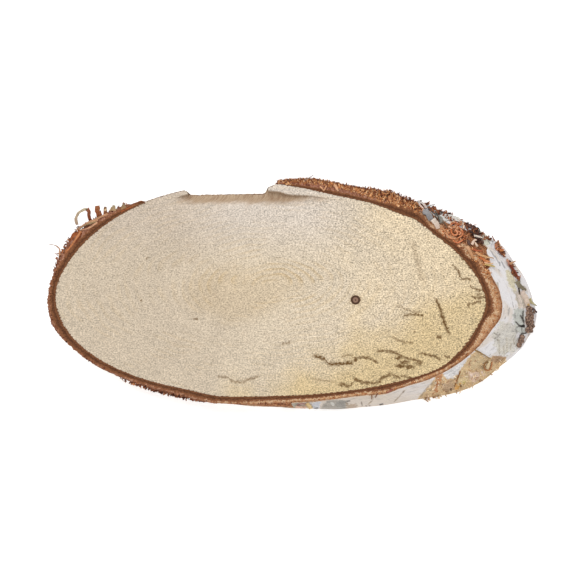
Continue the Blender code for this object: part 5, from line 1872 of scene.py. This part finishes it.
@dataclass
class Chips:
    """Small torn chips of cork: three modelled one by one, then copied wherever the bark is torn."""

    sight: Sight
    seed: int = 11
    shag_count: int = 1500
    shag_from: float = 87.5
    shag_to: float = 50.0
    shag_edge: Table = (
        (88, 0.6), (84, 2), (80, 3.4), (74, 3.8), (68, 3.6), (62, 6), (58.5, 7.8), (53, 5.7), (50, 7.6),
    )
    low: float = 0.1 * MM

    def masters(self) -> list[Object]:
        """Model the three chips, each about one unit long from its root at the origin.

        Returns:
            A bent flake, a crooked splinter and an angular crumb.
        """
        bpy.ops.mesh.primitive_grid_add(x_subdivisions=4, y_subdivisions=2, size=1.0)
        flake = Bench.added("flake")
        Bench.shape(flake, self.bend_flake)
        Bench.finish(flake, "SOLIDIFY", thickness=0.16, offset=0.0)
        middle = (0.0, 0.0, 0.5)
        bpy.ops.mesh.primitive_cone_add(vertices=5, radius1=0.4, radius2=0.08, depth=1.0, location=middle)
        splinter = Bench.added("splinter")
        bpy.ops.object.transform_apply(location=True, rotation=True, scale=True)
        with Bench.editing(splinter):
            Bench.select_faces(splinter, lambda middle: 0.05 < middle.z < 0.95)
            bpy.ops.mesh.subdivide(number_cuts=1)
        Bench.shape(splinter, self.bend_splinter)
        bpy.ops.mesh.primitive_ico_sphere_add(subdivisions=1, radius=0.5, location=(0.0, 0.0, 0.3))
        crumb = Bench.added("crumb")
        bpy.ops.object.transform_apply(location=True, rotation=True, scale=True)
        Bench.shape(crumb, lambda p: p * (1.0 + 0.7 * rough(p, 0.45, 3.0)))
        return [flake, splinter, crumb]

    @staticmethod
    def bend_flake(p: Vector) -> Vector:
        """Stand the flat flake up, narrow its tip, bow it and cup it."""
        height = p.x + 0.5
        return Vector((p.y * (1.0 - 0.5 * height), 0.45 * math.sin(2.4 * height) + 0.3 * p.y * p.y, height))

    @staticmethod
    def bend_splinter(p: Vector) -> Vector:
        """Flatten the splinter, bend it and roughen it."""
        crooked = Vector((p.x + 0.25 * math.sin(4.0 * p.z), p.y * 0.6, p.z))
        return crooked * (1.0 + 0.4 * rough(p, 0.3))

    def shag_spot(self, draw: random.Random) -> Spot:
        """Draw a spot of the picture in the shag along the upper right."""
        trunk = self.sight.trunk
        angle = math.radians(draw.uniform(self.shag_to, self.shag_from))
        low = trunk.edge(trunk.cork_edge, angle) - 0.3 * MM
        high = trunk.edge(self.shag_edge, angle) - 0.4 * MM
        radius = low + (max(high, low) - low) * draw.random() ** 0.8
        return self.sight.show(trunk.point(angle, radius, 0.0))

    @staticmethod
    def outline_spot(draw: random.Random, outline: Sequence[Spot]) -> Spot:
        """Draw a spot inside an outline."""
        (left, right), (top, bottom) = ((min(values), max(values)) for values in zip(*outline))
        while True:
            spot = (draw.uniform(left, right), draw.uniform(top, bottom))
            if Mark.depth(outline, spot) > 0.0:
                return spot

    def root(self, draw: random.Random, thicket: Thicket) -> Vector:
        """Draw the place of one chip of this thicket."""
        off = draw.uniform(*thicket.off) * MM
        trunk = self.sight.trunk
        if thicket.span == (0.0, 0.0):
            spot = self.outline_spot(draw, thicket.outline) if thicket.outline else self.shag_spot(draw)
            return self.sight.on_bark(spot, off)
        angle = math.radians(draw.uniform(*thicket.span))
        depth = draw.uniform(*thicket.depths) * MM
        radius = trunk.bark_radius(angle, depth) if thicket.on_skin else trunk.edge(trunk.cork_edge, angle)
        return trunk.point(angle, radius + off, depth)

    def matrix(self, draw: random.Random, thicket: Thicket) -> Matrix:
        """Draw the place, size and lean of one chip of this thicket."""
        root = self.root(draw, thicket)
        angle, _ = self.sight.trunk.polar(root)
        outward, around, down = self.sight.trunk.directions(angle)
        lean = outward + (around * draw.gauss(0.0, 1.0) + down * draw.gauss(0.1, 0.8)) * thicket.stray
        lean.z = min(lean.z, 0.6 * math.hypot(lean.x, lean.y))
        length = draw.uniform(*thicket.lengths) * MM
        width = draw.uniform(*thicket.widths) * MM
        roll = Quaternion((0.0, 0.0, 1.0), draw.uniform(0.0, 6.28))
        turn = lean.normalized().to_track_quat("Z", "Y") @ roll
        size = Matrix.Diagonal((width, width * draw.uniform(0.5, 1.1), length, 1.0))
        return Matrix.Translation(root - lean.normalized() * 0.3 * length) @ turn.to_matrix().to_4x4() @ size

    def settle(self, mesh: bpy.types.Mesh, high: float) -> None:
        """Move a chip up or down, whole, so that it keeps off the floor and below this height."""
        heights = [vertex.co.z for vertex in mesh.vertices]
        shift = min(high - max(heights), 0.0)
        shift = max(shift, self.low - min(heights))
        mesh.transform(Matrix.Translation((0.0, 0.0, shift)))

    def grow(self, draw: random.Random, thicket: Thicket, masters: Sequence[Object]) -> Object:
        """Copy the chips over one thicket and join them.

        Args:
            draw: The seeded draw.
            thicket: The place and the sizes.
            masters: The chips to copy.

        Returns:
            The joined piece.
        """
        LOG.info("%s: placing %d chips", thicket.name, thicket.count)
        copies = []
        for _ in range(thicket.count):
            mesh = masters[draw.choice(thicket.kinds)].data.copy()
            mesh.transform(self.matrix(draw, thicket))
            self.settle(mesh, thicket.high * MM)
            tone = Vector(linear(draw.choice(thicket.tones))) * draw.uniform(0.85, 1.25)
            layer = mesh.attributes.new("tone", "FLOAT_COLOR", "POINT")
            layer.data.foreach_set("color", list(tone) * len(mesh.vertices))
            copy = bpy.data.objects.new(thicket.name, mesh)
            bpy.context.collection.objects.link(copy)
            copies.append(copy)
        piece = Bench.join(thicket.name, copies)
        Bench.smooth(piece, 35.0)
        return piece

    def build(self, material: Material) -> list[Object]:
        """Copy the chips over every thicket.

        Args:
            material: The finish of torn bark.

        Returns:
            One joined piece for each thicket, with its finish.
        """
        draw = random.Random(self.seed)
        masters = self.masters()
        shag = Thicket("shag", self.shag_count, ORANGE_CORK * 2 + RED_CORK, (1.1, 2.6), (0.5, 1.2))
        pieces = [self.grow(draw, thicket, masters) for thicket in (shag, *THICKETS)]
        for piece in pieces:
            piece.data.materials.append(material)
        for master in masters:
            bpy.data.objects.remove(master)
        return pieces


@dataclass(frozen=True)
class ScarWood:
    """The burl's rough grey-brown wood, with dark cracks."""

    brown: Rgb = (142, 112, 96)
    pale: Rgb = (186, 156, 134)
    dark: Rgb = (52, 36, 28)

    def material(self) -> Material:
        """Make the burl's material."""
        g = Graph("burl")
        place = g.place()
        coarse = g.noise(place, 1.6 * MM, 4.0, 0.6)
        fine = g.noise(place, 0.5 * MM, 3.0, 0.6)
        cracks = abs(g.noise(place, 2.4 * MM, 3.0) - 0.5).step(0.035, 0.0)
        color = g.ramp(coarse * 0.6 + fine * 0.4, (0.34, self.dark), (0.46, self.brown), (0.66, self.pale))
        color = g.mix(cracks * 0.85, color, self.dark)
        return g.finish(color, 0.8, coarse * 0.6 + fine * 0.4 - cracks * 0.5, 0.6 * MM)


@dataclass
class Burl:
    """The rough scar of an old branch at the right end, in overlapping lumps.

    Each lump is a spot of the picture with a height and a radius in mm.
    """

    sight: Sight
    lumps: Sequence[tuple[float, float, float, float]] = (
        (530, 309, 3.2, 1.6), (529.5, 313.5, 3, 1.7), (531, 317, 2.6, 2), (530, 322, 2.6, 2.2),
        (532, 326, 2.4, 1.6), (529, 330, 2.4, 1.6), (531.5, 330.5, 2, 1.2), (528.5, 318, 3.2, 1.5),
        (535, 312, 2.8, 0.8), (523, 337, 2.8, 1.3), (521.5, 341, 2.6, 1.6), (519.5, 345, 2.4, 1.3),
    )
    voxel: float = 0.22 * MM

    def build(self) -> Object:
        """Model the burl.

        Returns:
            The burl's object, with its finish.
        """
        LOG.info("burl: lumping the scar")
        made = []
        for i, (x, y, height, radius) in enumerate(self.lumps):
            where = self.sight.level((x, y), height * MM)
            bpy.ops.mesh.primitive_ico_sphere_add(subdivisions=3, radius=radius * MM, location=where)
            made.append(Bench.added(f"lump_{i}"))
        burl = Bench.join("burl", made)
        bpy.ops.object.transform_apply(location=True, rotation=True, scale=True)
        Bench.finish(burl, "REMESH", mode="VOXEL", voxel_size=self.voxel)
        Bench.shape(burl, self.roughen)
        Bench.smooth(burl, 70.0)
        burl.data.materials.append(ScarWood().material())
        return burl

    def roughen(self, point: Vector) -> Vector:
        """Push a point in or out, deeply at the cracks, and keep it off the floor."""
        angle, _ = self.sight.trunk.polar(point)
        outward, around, _ = self.sight.trunk.directions(angle)
        bulk = 0.6 * rough(point, 1.6 * MM) + 0.4 * rough(point, 0.7 * MM) + 0.2 * rough(point, 0.4 * MM)
        crack = ease(abs(rough(point, 1.7 * MM, 6.0)), 0.12, 0.0)
        moved = point + outward * (bulk - 0.8 * crack) * MM + around * 0.4 * rough(point, 1.2 * MM, 8.0) * MM
        moved.z = max(moved.z, 0.1 * MM)
        return moved


@dataclass
class Studio:
    """A pale floor, soft light and the camera at the photograph's angle."""

    elevation: float = math.radians(78.0)
    distance: float = 2.0
    view_width: float = 0.2925
    target: Place = (0.5 * MM, -0.8 * MM, 10.0 * MM)
    floor_size: float = 6.0
    floor_gap: float = 0.1 * MM
    floor_color: float = 0.9
    floor_glow: float = 0.42
    sky: float = 0.74
    key_power: float = 9.5
    key_size: float = 1.1
    key_place: Place = (-0.55, 0.75, 1.35)
    fill_power: float = 3.0
    fill_place: Place = (0.9, -0.7, 1.2)

    def build(self) -> None:
        """Set up the floor, the lights and the camera."""
        LOG.info("studio: floor, light and camera")
        scene = bpy.context.scene
        scene.view_settings.view_transform = "Standard"
        bpy.ops.mesh.primitive_plane_add(size=self.floor_size, location=(0.0, 0.0, -self.floor_gap))
        floor = Bench.added("floor")
        graph = Graph("floor_paint")
        graph.shader.inputs["Base Color"].default_value = (self.floor_color,) * 3 + (1.0,)
        graph.shader.inputs["Roughness"].default_value = 0.9
        graph.shader.inputs["Emission Color"].default_value = (1.0, 1.0, 1.0, 1.0)
        graph.shader.inputs["Emission Strength"].default_value = self.floor_glow
        floor.data.materials.append(graph.material)
        world = bpy.data.worlds.new("studio")
        world.use_nodes = True
        world.node_tree.nodes["Background"].inputs["Color"].default_value = (1.0, 1.0, 1.0, 1.0)
        world.node_tree.nodes["Background"].inputs["Strength"].default_value = self.sky
        scene.world = world
        self._light("key", self.key_place, self.key_power, self.key_size)
        self._light("fill", self.fill_place, self.fill_power, self.key_size)
        self._camera()

    def _light(self, name: str, place: Place, power: float, size: float) -> None:
        """Hang a square soft light that faces the slice."""
        bpy.ops.object.light_add(type="AREA", location=place)
        light = Bench.added(name)
        light.data.energy = power
        light.data.size = size
        light.rotation_euler = (-Vector(place)).to_track_quat("-Z", "Y").to_euler()

    def _camera(self) -> None:
        """Place the camera so that the picture's width takes in the view's width at the upper face."""
        target = Vector(self.target)
        back = Vector((0.0, -math.cos(self.elevation), math.sin(self.elevation)))
        bpy.ops.object.camera_add(location=target + back * self.distance)
        camera = Bench.added("camera")
        camera.rotation_euler = (-back).to_track_quat("-Z", "Y").to_euler()
        camera.data.sensor_width = 36.0
        camera.data.lens = camera.data.sensor_width * self.distance / self.view_width
        bpy.context.scene.camera = camera


def show(piece: Object, slot: Slot, *replaced: str) -> None:
    """Put a finished piece on the slice.

    Args:
        piece: The piece, in place in its mesh.
        slot: Not used.
        replaced: The CAD nodes that it stands for.
    """
    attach(piece, "root")
    if replaced:
        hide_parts(*replaced)
    LOG.info("%s: %d faces", piece.name, len(piece.data.polygons))


def main() -> None:
    """Build the slice's pieces in order, and the studio round them."""
    logging.basicConfig(level=logging.INFO, format="%(name)s %(message)s")
    trunk = Trunk(thickness=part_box("wood")[1].z)
    sight = Sight(trunk)
    board = Board(trunk, sight)
    show(board.build(), Slot.WOOD, "wood")
    show(PinKnot(trunk, board.knot, board.knot_radius, board.knot_recess).build(), Slot.WOOD)
    show(BarkBand(trunk).build(), Slot.BARK, "inner_bark")
    show(PaperBark(trunk, sight).build(), Slot.PAPER, "outer_bark")
    torn = TornBark().material()
    show(StripGroup(sight, "upper_left_curls", FREE_STRIPS, False).build(torn), Slot.BARK)
    show(StripGroup(sight, "right_tatters", BARK_STRIPS, True).build(torn), Slot.BARK)
    for piece in Chips(sight).build(torn):
        show(piece, Slot.BARK)
    show(Burl(sight).build(), Slot.BARK)
    Studio().build()


if __name__ == "__main__":
    main()
